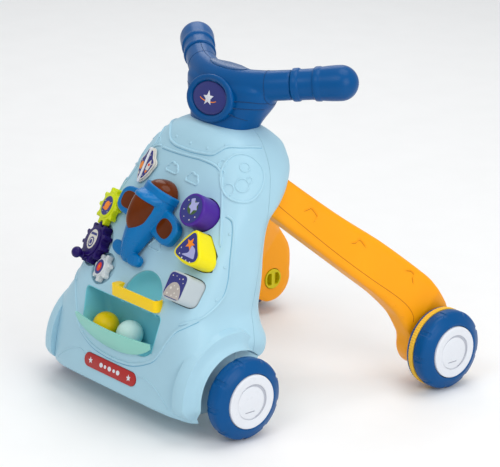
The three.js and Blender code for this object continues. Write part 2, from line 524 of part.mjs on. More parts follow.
const EMB = new THREE.Matrix4().makeRotationX(Math.PI / 2 - 0.30).setPosition(0, 84.5, 407);
{
  let h = handleSolid(0);
  h = h.add(place(prism(ellipse(0, 0, 42, 29, 24), -14, 2.6), EMB));
  h = h.subtract(handleSolid(3).intersect(box(-GRIP_START + 3, GRIP_START - 3, 0, 300, 300, 600)));
  h = h.subtract(place(prism(ellipse(0, 0, 34.4, 22.4, 24), -0.6, 12), EMB));
  // core that carries the grips
  const core = ringsAlong([[GRIP_START - 4, 0], [120, 0], [140, 0]], () => 14, 12);
  const coreR = loft(core), coreL = mirrorX(coreR);
  h = h.add(coreR).add(coreL);
  // top cap pocket
  const capPrism = (d) => prism(ellipse(0, 116, 36 + d, 14 + d, 24), 430, 470);
  h = h.subtract(capPrism(GAP).intersect(handleSolid(-2)).subtract(handleSolid(1.2)));
  h = h.subtract(bodySolid(-GAP)).subtract(loft([postRing(340, 34 + GAP, 26 + GAP, 112), postRing(372, 34 + GAP, 26 + GAP, 112), postRing(398 + GAP, 30 + GAP, 22 + GAP, 112)]));
  addNode(root, 'handle_front_shell', keepLargest(h.intersect(ySplit(0.15))), mat(C.blue, 0.38));
  addNode(root, 'handle_rear_shell', keepLargest(h.subtract(ySplit(-0.15))), mat(C.blue, 0.38));
  addNode(root, 'handle_emblem', place(prism(ellipse(0, 0, 34, 22, 24), -0.2, 3.6), EMB), mat(C.navy, 0.35));
  addNode(root, 'handle_top_cap', keepLargest(capPrism(0).intersect(handleSolid(-0.8)).subtract(handleSolid(0.8))), mat(C.cap, 0.25));
  // grips: soft sleeves with two raised rings and a round end
  const outerRings = [...GRIP_R.map(([x]) => [x, 0]), [148, 9], [148, 16], [148, 21], [148, 23.2]];
  const gr = (x, s) => { if (s) return { 9: 21.8, 16: 17.2, 21: 10.3, 23.2: 3.4 }[s]; const q = GRIP_R.find((g) => g[0] === x); return q[1]; };
  const g = loft(ringsAlong(outerRings, gr, 16));
  const bore = loft(ringsAlong([[60, 0], [90, 0], [120, 0], [141, 0]], () => 14.5, 12));
  const slice = loft(ringsAlong([[60, 0], [GRIP_START + 0.4, 0]], () => 40, 8));
  const grip = g.subtract(bore).subtract(slice);
  addNode(root, 'right_grip', keepLargest(grip), mat(C.blue, 0.5));
  addNode(root, 'left_grip', keepLargest(mirrorX(grip)), mat(C.blue, 0.5));
}

// ------------------------------------------------------------------ legs
{
  const hollow = (() => {
    const outline = legOutline(-2.8);
    return legSolid(-2.8);
  })();
  let leg = legOuter.subtract(hollow);
  // axle bore and boss, knob bore in the foot
  const A = [WHEELBASE, AXLE_Z];
  leg = leg.add(latheX([[LEG_X1[0] + 14, 0], [LEG_X1[0] + 14, 7], [LEG_X1[1] - 0.1, 7], [LEG_X1[1] - 0.1, 0]], ...A, 16));
  leg = leg.subtract(latheX([[100, 0], [100, AXLE_R + 0.3], [230, AXLE_R + 0.3], [230, 0]], ...A, 12));
  leg = leg.subtract(latheX([[100, 0], [100, 15.6], [LEG_X1[0] + 13.4, 15.6], [LEG_X1[0] + 13.4, 0]], ...A, 24));
  // knob well wall
  leg = leg.add(latheX([[LEG_X1[0] + 1.4, 15.6], [LEG_X1[0] + 15.8, 15.6], [LEG_X1[0] + 15.8, 18], [LEG_X1[0] + 1.4, 18]], ...A, 24, true));
  leg = leg.add(latheX([[LEG_X1[0] + 13.4, AXLE_R + 0.3], [LEG_X1[0] + 15.8, AXLE_R + 0.3], [LEG_X1[0] + 15.8, 18], [LEG_X1[0] + 13.4, 18]], ...A, 24, true));
  // seam: the outer cover is the upper, outer side of the section
  const seam = (d) => {
    const row = (t, kind) => {
      const k = Math.max(0, Math.min(1, (t - 20) / 298));
      const xi = LEG_X0[0] + (LEG_X1[0] - LEG_X0[0]) * k, xo = LEG_X0[1] + (LEG_X1[1] - LEG_X0[1]) * k, xm = (xi + xo) / 2 + 1;
      const sOut = -2 - 14 * Math.max(0, Math.min(1, t / 300)), sIn = 30;
      const P = (x, q) => [x + d, LEG_P[0] + LEG_DIR[0] * t - LEG_DIR[1] * (q + d), LEG_P[1] + LEG_DIR[1] * t + LEG_DIR[0] * (q + d)];
      return kind ? [P(xm, 140), P(xm, -140), P(xo + 60, -140), P(xo + 60, 140)]
        : [P(xi - 30, 2 * sIn - sOut), P(xo + 30, 2 * sOut - sIn), P(xo + 60, 140), P(xi - 60, 140)];
    };
    const along = (t0, t1, kind) => loft([t0, ...[18, 120, 220, 318].filter((t) => t > t0 && t < t1), t1].map((t) => row(t, kind)));
    return along(-20, 300 - d, 0).add(along(300 + d, 420, 1)).add(along(250, 400, 0).intersect(along(250, 400, 1)));
  };
  const coverPart = keepLargest(leg.intersect(seam(0.12)));
  const innerPart = keepLargest(leg.subtract(seam(-0.12)));
  addNode(root, 'right_leg_outer_cover', coverPart, mat(C.orange, 0.42));
  addNode(root, 'right_leg_inner_shell', innerPart, mat(C.orange, 0.42));
  addNode(root, 'left_leg_outer_cover', mirrorX(coverPart), mat(C.orange, 0.42));
  addNode(root, 'left_leg_inner_shell', mirrorX(innerPart), mat(C.orange, 0.42));

  // speed knob: dished disc with a finger bar, set in the inner side of the foot
  const x0 = LEG_X1[0];
  let knob = latheX([[x0 - 1.5, 0], [x0 - 1.5, 15], [x0 + 12.6, 15], [x0 + 12.6, 0]], ...A, 24);
  knob = knob.subtract(box(x0 - 5, x0 + 7, A[0] - 20, A[0] - 3, A[1] - 9, A[1] + 9).intersect(latheX([[x0 - 6, 0], [x0 - 6, 12.6], [x0 + 7, 12.6], [x0 + 7, 0]], ...A, 20)));
  knob = knob.subtract(box(x0 - 5, x0 + 7, A[0] + 3, A[0] + 20, A[1] - 9, A[1] + 9).intersect(latheX([[x0 - 6, 0], [x0 - 6, 12.6], [x0 + 7, 12.6], [x0 + 7, 0]], ...A, 20)));
  knob = knob.subtract(latheX([[x0 + 9, 0], [x0 + 9, AXLE_R + 0.5], [230, AXLE_R + 0.5], [230, 0]], ...A, 12));
  addNode(root, 'right_speed_knob', knob, mat(0xd9cf20, 0.42));
  addNode(root, 'left_speed_knob', mirrorX(knob), mat(0xd9cf20, 0.42));
  const stub = latheX([[x0 + 9.6, 0], [x0 + 9.6, AXLE_R], [REAR_HUB_X - 8, AXLE_R], [REAR_HUB_X - 8, 0]], ...A, 12);
  addNode(root, 'right_rear_axle', stub, mat(C.steel, 0.3, 0.9));
  addNode(root, 'left_rear_axle', mirrorX(stub), mat(C.steel, 0.3, 0.9));
}

// ------------------------------------------------------------------ wheels
{
  const SEG = 20, flat = 1 / Math.cos(Math.PI / SEG);  // corner radius over flat radius
  const R = WHEEL_R * flat, b = AXLE_R + 0.3;
  const axle = latheX([[-(FRONT_HUB_X - 8), 0], [-(FRONT_HUB_X - 8), AXLE_R], [FRONT_HUB_X - 8, AXLE_R], [FRONT_HUB_X - 8, 0]], 0, AXLE_Z, 12);
  addNode(root, 'front_axle', axle, mat(C.steel, 0.3, 0.9));
  // front wheel: hollow blue moulding, dished outside for the hub cap, vented round the hub on the inside
  const H = FRONT_HUB_X;
  const front = latheX([[H - 33, b], [H - 33, 8], [H - 9, 8], [H - 9, 39.5], [H - 4, 42], [H - 7.6, 49.2], [H - 12, R - 3], [H - 20, R - 3], [H - 30, 43], [H - 30, 14], [H - 33, 14],
    [H - 33, 44], [H - 22, R], [H - 10, R], [H - 4.5, 51], [H, 39.5], [H - 1, 37.4], [H - 6, 37.4], [H - 6, b]], 0, AXLE_Z, SEG, true);
  addNode(root, 'right_front_wheel', front, mat(C.blue, 0.4));
  addNode(root, 'left_front_wheel', mirrorX(front), mat(C.blue, 0.4));
  const cap = (h) => [[h - 5.6, 0], [h - 5.6, 36.6], [h + 2, 36.6], [h + 2, 0]];
  const fcap = latheX(cap(H), 0, AXLE_Z, SEG);
  addNode(root, 'right_front_hubcap', fcap, mat(C.white, 0.35));
  addNode(root, 'left_front_hubcap', mirrorX(fcap), mat(C.white, 0.35));
  // rear wheel: outer half, inner half, rubber traction band between them
  const Q = REAR_HUB_X;
  const outerHalf = latheX([[Q - 25, 12], [Q - 25, R - 2], [Q - 23, R], [Q - 10, R], [Q - 4.5, 51], [Q, 39.5], [Q - 1, 36.9], [Q - 6, 36.9], [Q - 6, b], [Q - 25, b], [Q - 25, 8], [Q - 9, 8], [Q - 9, 39.5], [Q - 4, 42], [Q - 7.6, 49.2], [Q - 12, R - 3], [Q - 22, R - 3], [Q - 22, 12]], WHEELBASE, AXLE_Z, SEG, true);
  addNode(root, 'right_rear_wheel_outer', outerHalf, mat(C.blue, 0.4));
  addNode(root, 'left_rear_wheel_outer', mirrorX(outerHalf), mat(C.blue, 0.4));
  const innerHalf = latheX([[Q - 45, b], [Q - 45, 40], [Q - 43, 45], [Q - 36, R - 1.2], [Q - 33.4, R - 1.2], [Q - 33.4, 46], [Q - 25.3, 46], [Q - 25.3, 43], [Q - 36, 43], [Q - 42, 38], [Q - 42, 8], [Q - 25.3, 8], [Q - 25.3, b]], WHEELBASE, AXLE_Z, SEG, true);
  addNode(root, 'right_rear_wheel_inner', innerHalf, mat(C.blue, 0.4));
  addNode(root, 'left_rear_wheel_inner', mirrorX(innerHalf), mat(C.blue, 0.4));
  const band = latheX([[Q - 33.1, 46.4], [Q - 33.1, R], [Q - 25.3, R], [Q - 25.3, 46.4]], WHEELBASE, AXLE_Z, SEG, true);
  addNode(root, 'right_traction_band', band, mat(C.band, 0.75));
  addNode(root, 'left_traction_band', mirrorX(band), mat(C.band, 0.75));
  const rcap = latheX(cap(Q).map(([x, r]) => [x, r > 36 ? 36.1 : r]), WHEELBASE, AXLE_Z, SEG);
  addNode(root, 'right_rear_hubcap', rcap, mat(C.white, 0.35));
  addNode(root, 'left_rear_hubcap', mirrorX(rcap), mat(C.white, 0.35));
}

// ------------------------------------------------------------------ gears
function gearOutline(teeth, phase, add = 2.7, ded = 3.3) {
  const rp = (GEAR_MODULE * teeth) / 2, p = [];
  for (let i = 0; i < teeth; i++) {
    const c = phase + (2 * Math.PI * i) / teeth, w = (2 * Math.PI) / teeth;
    for (const [f, r] of [[-0.30, rp - ded], [-0.205, rp - 0.4], [-0.115, rp + add], [0.115, rp + add], [0.205, rp - 0.4], [0.30, rp - ded]]) {
      p.push([r * Math.cos(c + f * w), r * Math.sin(c + f * w)]);
    }
  }
  return p;
}
const move2 = (pts, [x, y]) => pts.map((p) => [p[0] + x, p[1] + y]);
{
  const angTo = (a, b) => Math.atan2(b[1] - a[1], b[0] - a[0]);
  const P = GEAR_POS, T = GEAR_TEETH;
  const aL = angTo(P.purple, P.lime), aG = angTo(P.purple, P.grey);
  const wP = (2 * Math.PI) / T.purple;
  // a purple tooth points at the lime gear; the lime gear shows a gap to it
  const phP = aL;
  const phL = aL + Math.PI + Math.PI / T.lime;
  // offset of the direction to the grey gear from the nearest purple tooth, carried over to the grey gear
  const off = (((aG - phP) / wP) % 1 + 1) % 1; // in tooth pitches of the purple gear
  const phG = aG + Math.PI + (off - 0.5) * ((2 * Math.PI) / T.grey);
  const hole = (c, r = 3.3) => prism(ellipse(...c, r, r, 12), -30, 40);
  const lime = prism(move2(gearOutline(T.lime, phL), P.lime), 0, 9)
    .add(prism(ellipse(...P.lime, 15.5, 15.5, 20), 8.5, 10.4)).subtract(prism(ellipse(...P.lime, 3.4, 3.4, 12), -5, 9.6));
  addNode(root, 'lime_gear', inGear(lime), mat(C.lime, 0.4));
  const purple = prism(move2(gearOutline(T.purple, phP), P.purple), -5, 9)
    .add(prism(ellipse(...P.purple, 17.5, 17.5, 20), 8.5, 11.4)).subtract(prism(ellipse(...P.purple, 3.4, 3.4, 12), -9, 9.6));
  // crank lug
  const K = [-9, -21.5];
  addNode(root, 'crank_gear', inGear(purple.subtract(prism(ellipse(...K, 2.6, 2.6, 12), 2, 20))), mat(C.deep, 0.4));
  const knobProfile = [[2.3, 0], [2.3, 2.2], [9.4, 2.2], [9.4, 4.2], [14, 4.4], [16, 6.6], [20, 7.6], [24, 6.4], [26.4, 3.2], [27, 0]];
  const kg = new THREE.LatheGeometry(knobProfile.map(([z, r]) => new THREE.Vector2(r, z)), 16);
  kg.rotateX(Math.PI / 2); kg.translate(K[0], K[1], 0);
  addNode(root, 'crank_knob', inGear(orient(kg)), mat(C.deep, 0.38));
  const grey = prism(move2(gearOutline(T.grey, phG), P.grey), -8.5, 1)
    .add(prism(ellipse(...P.grey, 10.5, 10.5, 18), 0.5, 2.4)).subtract(prism(ellipse(...P.grey, 3.4, 3.4, 12), -12, 1.8));
  addNode(root, 'grey_gear', inGear(grey), mat(C.grey, 0.42));
  for (const k in PINS) {
    const [[x, y], z0, z1] = PINS[k];
    addNode(root, k, inGear(prism(ellipse(x, y, 3, 3, 12), z0, z1)), mat(C.grey, 0.4));
  }
}

// ------------------------------------------------------------------ shape blocks
{
  const colours = { round: C.purple, triangle: C.lemon, square: C.grey };
  for (const k in BLOCK_AT) {
    const at = BLOCK_AT[k], top = BLOCK_TOP[k], low = -SOCKET_DEPTH[k] + 0.5;
    const ringAt = (d, z) => grow(OUTLINES[k], -d).map((p) => [p[0] + at[0], p[1] + at[1], z]);
    addNode(root, `${k}_block`, onPanel(loft([ringAt(0.8, low), ringAt(0, low + 1), ringAt(0, top - 1.6), ringAt(1.6, top)])), mat(colours[k], 0.4));
  }
}

// ------------------------------------------------------------------ airplane
{
  const M = planeMatrix;
  // fuselage: rings across local y (tail at -y, nose at +y)
  const fr = (y, w, h, dx = 0) => { const r = []; for (let i = 0; i < 12; i++) { const a = (Math.PI * i) / 11; r.push([dx + w * Math.cos(a), y, 1.2 + h * Math.sin(a)]); } return r; };
  const fus = loft([fr(-52, 9, 12), fr(-38, 13, 20), fr(-20, 17, 27), fr(0, 22, 32), fr(14, 26.5, 33.5), fr(28, 28, 33.5), fr(36, 28, 31.5), fr(45, 27.5, 31)]);
  const wing = prism(roundedPolygon([[-63, 6], [-56, 28], [56, 28], [63, 6], [50, -9.5], [-50, -9.5]], 14, 4), 1.2, 13);
  const tail = prism(roundedPolygon([[-29, -38], [-27, -52], [27, -52], [29, -38]], 7, 3), 1.2, 10);
  let body = fus.add(wing).add(tail);
  const lensAt = (d) => {
    const nose = loft([fr(38, 23.5 - d, 27 - d), fr(46, 22.5 - d, 25.5 - d), fr(54, 16.5 - d, 18 - d), fr(59.5, 8 - d, 8.5 - d)]);
    const canopy = loft([fr(-14, 8 - d, 33 - d), fr(-7, 14.5 - d, 39 - d), fr(4, 18.5 - d, 43 - d), fr(16, 20 - d, 45 - d), fr(25, 19.5 - d, 45 - d), fr(29, 15 - d, 37 - d)]);
    const wl = prism(roundedPolygon([[-53 + d, 8], [-47 + d, 20 - d], [-27 - d, 20 - d], [-27 - d, -2 + d], [-45 + d, -2 + d]], 6, 3), 4, 14.2 - d);
    return nose.add(canopy).add(wl).add(mirrorX(wl));
  };
  // one tinted moulding sits under the blue one and shows through its windows
  const bed = prism(roundedPolygon([[-53, -3], [-53, 21], [53, 21], [53, -3]], 8, 3), 3.6, 6).add(prism(roundedPolygon([[-19, -12], [-19, 40], [19, 40], [19, -12]], 6, 3), 3.6, 6));
  const lens = lensAt(0).add(bed).intersect(prism(ellipse(0, 0, 90, 90, 24), 3.6, 60));
  const lensHole = lensAt(-GAP).add(prism(roundedPolygon([[-53.4, -3.4], [-53.4, 21.4], [53.4, 21.4], [53.4, -3.4]], 8, 3), 0, 6.4)).add(prism(roundedPolygon([[-19.4, -12.4], [-19.4, 44], [19.4, 44], [19.4, -12.4]], 6, 3), 0, 6.4));
  body = keepLargest(body.subtract(lensHole)).add(prism([[-14, -30], [14, -30], [14, -18], [-14, -18]], 1.2, 5)).add(prism(ellipse(0, -24, 8, 8, 14), -14, 4));
  addNode(root, 'airplane_body', place(body, M), mat(C.plane, 0.36));
  addNode(root, 'airplane_lens', place(keepLargest(lens), M), mat(C.lens, 0.15));
}

// ------------------------------------------------------------------ flip book: base plate with a turning leaf
{
  // two pages on a spine; the left page follows the rounded side of the body
  const PAGE = [[-0.6, -24.5], [2.4, -24.5], [12, -15], [17.6, -3.6], [21.5, 4], [19.5, 10], [13, 14], [8.6, 23.5], [5, 26], [-0.6, 26]];
  const page = prism(roundedPolygon(PAGE, 3.5, 3), 1.4, 4);
  const base = page.add(place(mirrorX(page), new THREE.Matrix4().makeRotationY((-17 * Math.PI) / 180)));
  const spine = prism([[-2.2, -24], [2.2, -24], [2.2, 24], [-2.2, 24]], 3.8, 6.2);
  addNode(root, 'flip_book_base', place(base.add(spine), bookMatrix), mat(C.white, 0.4));
  const leaf = prism(roundedPolygon([[2.9, -22.5], [11.2, -14.4], [16.8, -3.6], [20.6, 4], [18.8, 9.6], [12.4, 13.4], [8, 22.6], [4.8, 24.5], [2.9, 24.5]], 3.5, 3), 4.6, 6.2);
  addNode(root, 'flip_book_leaf', place(leaf, bookMatrix), mat(C.white, 0.4));
}

// ------------------------------------------------------------------ balls
{
  const ball = (x, y, z) => { const g = new THREE.IcosahedronGeometry(BALL_R, 3); g.translate(x, y, z); return orient(g); };
  addNode(root, 'yellow_ball', ball(-49, -54, 104), mat(C.yellow, 0.4));
  addNode(root, 'mint_ball', ball(-3, -49.5, 104), mat(C.mint, 0.4));
}

root.position.y = Y_SHIFT;
root.updateMatrixWorld(true);
export default root;
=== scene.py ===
import bpy, bmesh, math
import numpy as np
from mathutils import Vector, Matrix
from mathutils.bvhtree import BVHTree


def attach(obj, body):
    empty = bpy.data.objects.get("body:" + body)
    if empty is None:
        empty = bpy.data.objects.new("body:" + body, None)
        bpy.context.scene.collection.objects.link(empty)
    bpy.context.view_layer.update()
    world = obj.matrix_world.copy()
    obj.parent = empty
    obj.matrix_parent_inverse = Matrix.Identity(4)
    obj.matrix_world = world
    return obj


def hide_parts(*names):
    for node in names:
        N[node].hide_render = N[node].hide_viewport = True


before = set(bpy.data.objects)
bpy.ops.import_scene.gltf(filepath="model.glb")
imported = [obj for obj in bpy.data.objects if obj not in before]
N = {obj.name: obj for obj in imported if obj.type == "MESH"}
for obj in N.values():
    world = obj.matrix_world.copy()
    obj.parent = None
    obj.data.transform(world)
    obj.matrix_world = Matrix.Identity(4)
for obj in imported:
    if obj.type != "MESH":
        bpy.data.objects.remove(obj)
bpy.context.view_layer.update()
SH = -147.03            # working Y (0 at the front axle) to row Y, mm
COL = bpy.context.scene.collection


# ---------------------------------------------------------------- materials
def lin(h):
    c = [((h >> s) & 255) / 255 for s in (16, 8, 0)]
    return tuple(((v + 0.055) / 1.055) ** 2.4 if v > 0.04045 else v / 12.92 for v in c)


def plastic(name, h, rough=0.36, var=0.05, bump=0.05, grain=900, coat=0.03, spec=0.26, sss=0.0, metal=0.0, trans=0.0, wear=0.0):
    m = bpy.data.materials.new(name)
    m.use_nodes = True
    nt = m.node_tree
    nt.nodes.clear()
    out = nt.nodes.new("ShaderNodeOutputMaterial")
    b = nt.nodes.new("ShaderNodeBsdfPrincipled")
    nt.links.new(b.outputs[0], out.inputs[0])
    tc = nt.nodes.new("ShaderNodeTexCoord")
    soft = nt.nodes.new("ShaderNodeTexNoise")
    soft.inputs["Scale"].default_value = 14
    soft.inputs["Detail"].default_value = 3
    nt.links.new(tc.outputs["Object"], soft.inputs["Vector"])
    ramp = nt.nodes.new("ShaderNodeValToRGB")
    r, g, bl = lin(h)
    k0, k1 = 1 - var, 1 + var
    ramp.color_ramp.elements[0].position = 0.3
    ramp.color_ramp.elements[1].position = 0.7
    ramp.color_ramp.elements[0].color = (r * k0, g * k0, bl * k0, 1)
    ramp.color_ramp.elements[1].color = (min(1, r * k1), min(1, g * k1), min(1, bl * k1), 1)
    nt.links.new(soft.outputs["Fac"], ramp.inputs["Fac"])
    nt.links.new(ramp.outputs["Color"], b.inputs["Base Color"])
    fine = nt.nodes.new("ShaderNodeTexNoise")
    fine.inputs["Scale"].default_value = grain
    fine.inputs["Detail"].default_value = 4
    nt.links.new(tc.outputs["Object"], fine.inputs["Vector"])
    bm = nt.nodes.new("ShaderNodeBump")
    bm.inputs["Strength"].default_value = bump
    bm.inputs["Distance"].default_value = 0.0004
    nt.links.new(fine.outputs["Fac"], bm.inputs["Height"])
    nt.links.new(bm.outputs["Normal"], b.inputs["Normal"])
    mid = nt.nodes.new("ShaderNodeTexNoise")
    mid.inputs["Scale"].default_value = 60
    mid.inputs["Detail"].default_value = 5
    nt.links.new(tc.outputs["Object"], mid.inputs["Vector"])
    mr = nt.nodes.new("ShaderNodeMapRange")
    mr.inputs["From Min"].default_value = 0.25
    mr.inputs["From Max"].default_value = 0.75
    mr.inputs["To Min"].default_value = max(0.04, rough - 0.05)
    mr.inputs["To Max"].default_value = rough + 0.06
    nt.links.new(mid.outputs["Fac"], mr.inputs["Value"])
    nt.links.new(mr.outputs["Result"], b.inputs["Roughness"])
    b.inputs["Coat Weight"].default_value = coat
    b.inputs["Coat Roughness"].default_value = 0.15
    b.inputs["Metallic"].default_value = metal
    b.inputs["IOR"].default_value = 1.5
    b.inputs["Specular IOR Level"].default_value = spec
    if sss:
        b.inputs["Subsurface Weight"].default_value = sss
        b.inputs["Subsurface Radius"].default_value = (0.004, 0.004, 0.004)
        b.inputs["Subsurface Scale"].default_value = 1.0
    if trans:
        b.inputs["Transmission Weight"].default_value = trans
    return m


MAT = {
    "body": plastic("m_body", 0xA8CFDF, 0.4, 0.03, sss=0.06),
    # darker copy of the body blue, painted shade: thin shadow lines below the body ridges and the inside of the wheel
    # arches
    "bodyline": plastic("m_body_painted_shade", 0x78B0CB, 0.5, 0.03),
    # the body's pale blue pushed brighter and more saturated: painted glow of light through the plastic inside the tray
    # and chute
    "tray": plastic("m_tray_painted_glow", 0x82D4E4, 0.42, 0.03),
    "lip": plastic("m_lip", 0xFFD200, 0.34, 0.02),
    "ballyellow": plastic("m_ball_yellow", 0xFFD400, 0.3, 0.03),
    "mint": plastic("m_mint", 0x8FD0C2, 0.36, 0.03, sss=0.05),
    "ballmint": plastic("m_ball_mint", 0xDCFCF4, 0.3, 0.03, sss=0.1),
    "red": plastic("m_red", 0xB02A28, 0.4, 0.04),
    "blue": plastic("m_blue", 0x004E8A, 0.32, 0.06, spec=0.16, coat=0.02),
    # darker blue, painted shade in the handle's parting slot and grooves
    "blueline": plastic("m_blue_painted_shade", 0x023766, 0.5, 0.04),
    "navy": plastic("m_navy", 0x2F3476, 0.32, 0.05),
    "cap": plastic("m_cap", 0x2C5484, 0.28, 0.03, coat=0.03),
    "orange": plastic("m_orange", 0xFFA400, 0.38, 0.03, sss=0.04),
    # darker orange, painted shade in the leg seams and painted shadow below the raised marks
    "orangeline": plastic("m_orange_painted_shade", 0xC46A00, 0.5, 0.03),
    "knob": plastic("m_knob", 0xD2C400, 0.38, 0.03),
    "steel": plastic("m_steel", 0xB8BCC2, 0.3, 0.05, metal=1.0, coat=0),
    "white": plastic("m_white", 0xE0E3E9, 0.3, 0.02, sss=0.05),
    # greyer white, painted shade on the hubcap crescent floor and slot walls
    "whiteline": plastic("m_white_painted_shade", 0xB9BCC6, 0.5, 0.02),
    "band": plastic("m_band", 0xF0BE3C, 0.7, 0.05, bump=0.25, grain=500, coat=0),
    "lime": plastic("m_lime", 0xCFDB00, 0.36, 0.04),
    "deep": plastic("m_deep_purple", 0x22105C, 0.33, 0.05, spec=0.2),
    "grey": plastic("m_grey", 0xD2D8DA, 0.38, 0.03),
    "square": plastic("m_square", 0xBAC4C8, 0.36, 0.03),
    "purple": plastic("m_purple", 0x47208F, 0.33, 0.05),
    "lemon": plastic("m_lemon", 0xEFE000, 0.36, 0.03),
    "plane": plastic("m_plane", 0x006EAE, 0.28, 0.05, spec=0.2),
    "lens": plastic("m_lens", 0x5E2600, 0.12, 0.35, coat=0.05, bump=0.02, spec=0.14),
    "dark": plastic("m_dark", 0x24262A, 0.6, 0.1),
    # dark teal, painted shade on the block socket walls, the grille slots and the screw holes
    "gap": plastic("m_painted_shade_gap", 0x2C5468, 0.7, 0.05),
    "board": plastic("m_board", 0x2D7A46, 0.5, 0.1),
    "st_navy": plastic("m_st_navy", 0x34377D, 0.4, 0.05),
    "st_cream": plastic("m_st_cream", 0xDAD6CC, 0.45, 0.04),
    "st_orange": plastic("m_st_orange", 0xF58A1F, 0.45, 0.05),
    "st_red": plastic("m_st_red", 0xE43B2F, 0.45, 0.05),
    "st_green": plastic("m_st_green", 0x3F5A33, 0.45, 0.15),
    "st_lilac": plastic("m_st_lilac", 0xA7A9D6, 0.45, 0.05),
    "st_moon": plastic("m_st_moon", 0xBEB5AE, 0.5, 0.12),
    "st_blue": plastic("m_st_blue", 0x5D86C4, 0.45, 0.1),
}


# ---------------------------------------------------------------- mesh helpers
def P(x, y, z):
    return Vector((x / 1000, (y + SH) / 1000, z / 1000))


def make(name, verts, faces, mat, angle=35, row=False):
    """verts in working mm (or already in the row frame when row is set)."""
    me = bpy.data.meshes.new(name)
    me.from_pydata([v if row else P(*v) for v in verts], [], faces)
    me.validate()
    o = bpy.data.objects.new(name, me)
    COL.objects.link(o)
    for m in (mat if isinstance(mat, (list, tuple)) else [mat]):
        me.materials.append(MAT[m])
    fixn(o)
    smooth(o, angle)
    return o


def fixn(o):
    b = bmesh.new()
    b.from_mesh(o.data)
    bmesh.ops.recalc_face_normals(b, faces=b.faces)
    b.to_mesh(o.data)
    b.free()


def smooth(o, angle=35):
    me = o.data
    me.polygons.foreach_set("use_smooth", [True] * len(me.polygons))
    me.set_sharp_from_angle(angle=math.radians(angle))


def loft(rings, cap=True):
    n = len(rings[0])
    v = [p for r in rings for p in r]
    f = []
    for k in range(len(rings) - 1):
        for i in range(n):
            j = (i + 1) % n
            f.append((k * n + i, k * n + j, (k + 1) * n + j, (k + 1) * n + i))
    if cap:
        f.append(tuple(range(n - 1, -1, -1)))
        f.append(tuple((len(rings) - 1) * n + i for i in range(n)))
    return v, f


def lathe_x(profile, y, z, seg=96, wob=None):
    """profile [(x, r)] closed on itself or starting and ending on the axis; about the X axis through (y, z)."""
    v, f, idx = [], [], []
    for k, (x, r) in enumerate(profile):
        if r <= 1e-6:
            idx.append([len(v)] * seg)
            v.append((x, y, z))
        else:
            row = []
            for i in range(seg):
                a = 2 * math.pi * i / seg
                rr = r + (wob(x, r, a) if wob else 0)
                row.append(len(v))
                v.append((x, y + rr * math.cos(a), z + rr * math.sin(a)))
            idx.append(row)
    closed = profile[0][1] > 1e-6
    m = len(profile)
    for k in range(m if closed else m - 1):
        a, b = idx[k], idx[(k + 1) % m]
        for i in range(seg):
            j = (i + 1) % seg
            q = [a[i], a[j], b[j], b[i]]
            q = [q[t] for t in range(4) if q[t] != q[t - 1]]
            if len(q) >= 3:
                f.append(tuple(q))
    return v, f


def pchip(xs, ys):
    xs, ys = np.array(xs, float), np.array(ys, float)
    h = np.diff(xs)
    dl = np.diff(ys) / h
    d = np.zeros(len(xs))
    for i in range(1, len(xs) - 1):
        if dl[i - 1] * dl[i] > 0:
            w1, w2 = 2 * h[i] + h[i - 1], h[i] + 2 * h[i - 1]
            d[i] = (w1 + w2) / (w1 / dl[i - 1] + w2 / dl[i])
    d[0], d[-1] = dl[0], dl[-1]

    def f(x):
        i = int(np.clip(np.searchsorted(xs, x) - 1, 0, len(xs) - 2))
        t = (x - xs[i]) / h[i]
        t = min(1.0, max(0.0, t))
        return float((2 * t**3 - 3 * t**2 + 1) * ys[i] + (t**3 - 2 * t**2 + t) * h[i] * d[i] + (-2 * t**3 + 3 * t**2) * ys[i + 1] + (t**3 - t**2) * h[i] * d[i + 1])

    return f


def super_ring(a, yf, yr, n, z, count):
    yc, b = (yf + yr) / 2, (yr - yf) / 2
    out = []
    for i in range(count):
        # points spaced by angle of the squashed shape, so that the corners stay smooth
        t = 2 * math.pi * i / count
        c, s = math.cos(t), math.sin(t)
        k = (abs(c) ** n + abs(s) ** n) ** (-1 / n)
        out.append((a * k * c, yc + b * k * s, z))
    return out


def boolean(o, cutter, op="DIFFERENCE", keep=False):
    m = o.modifiers.new("b", "BOOLEAN")
    m.operation = op
    m.object = cutter
    try:
        m.solver = "MANIFOLD"
    except TypeError:
        m.solver = "EXACT"
    dg = bpy.context.evaluated_depsgraph_get()
    dg.update()
    me = bpy.data.meshes.new_from_object(o.evaluated_get(dg))
    if len(me.polygons) == 0 or len(me.polygons) == len(o.data.polygons):
        m.solver = "EXACT"
        dg = bpy.context.evaluated_depsgraph_get()
        dg.update()
        me = bpy.data.meshes.new_from_object(o.evaluated_get(dg))
    o.modifiers.clear()
    old = o.data
    o.data = me
    bpy.data.meshes.remove(old)
    if not keep:
        bpy.data.objects.remove(cutter)


def apply_mods(o):
    dg = bpy.context.evaluated_depsgraph_get()
    dg.update()
    me = bpy.data.meshes.new_from_object(o.evaluated_get(dg))
    o.modifiers.clear()
    old = o.data
    o.data = me
    bpy.data.meshes.remove(old)


def join(name, objs):
    """One object from several, material slots kept."""
    b = bmesh.new()
    mats = []
    for o in objs:
        base = []
        for m in o.data.materials:
            if m not in mats:
                mats.append(m)
            base.append(mats.index(m))
        start = len(b.faces)
        b.from_mesh(o.data)
        b.faces.ensure_lookup_table()
        for f in b.faces[start:]:
            f.material_index = base[min(f.material_index, len(base) - 1)] if base else 0
    me = bpy.data.meshes.new(name)
    b.to_mesh(me)
    b.free()
    for m in mats:
        me.materials.append(m)
    for o in objs:
        bpy.data.objects.remove(o)
    o = bpy.data.objects.new(name, me)
    COL.objects.link(o)
    return o


def bevel(o, w=0.8, seg=2, ang=30):
    m = o.modifiers.new("bv", "BEVEL")
    m.width = w / 1000
    m.segments = seg
    m.limit_method = "ANGLE"
    m.angle_limit = math.radians(ang)
    m.use_clamp_overlap = True
    apply_mods(o)
    smooth(o, 40)
    return o


def finish_piece(o, body, slot, *nodes):
    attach(o, body)
    if nodes:
        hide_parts(*nodes)
    return o


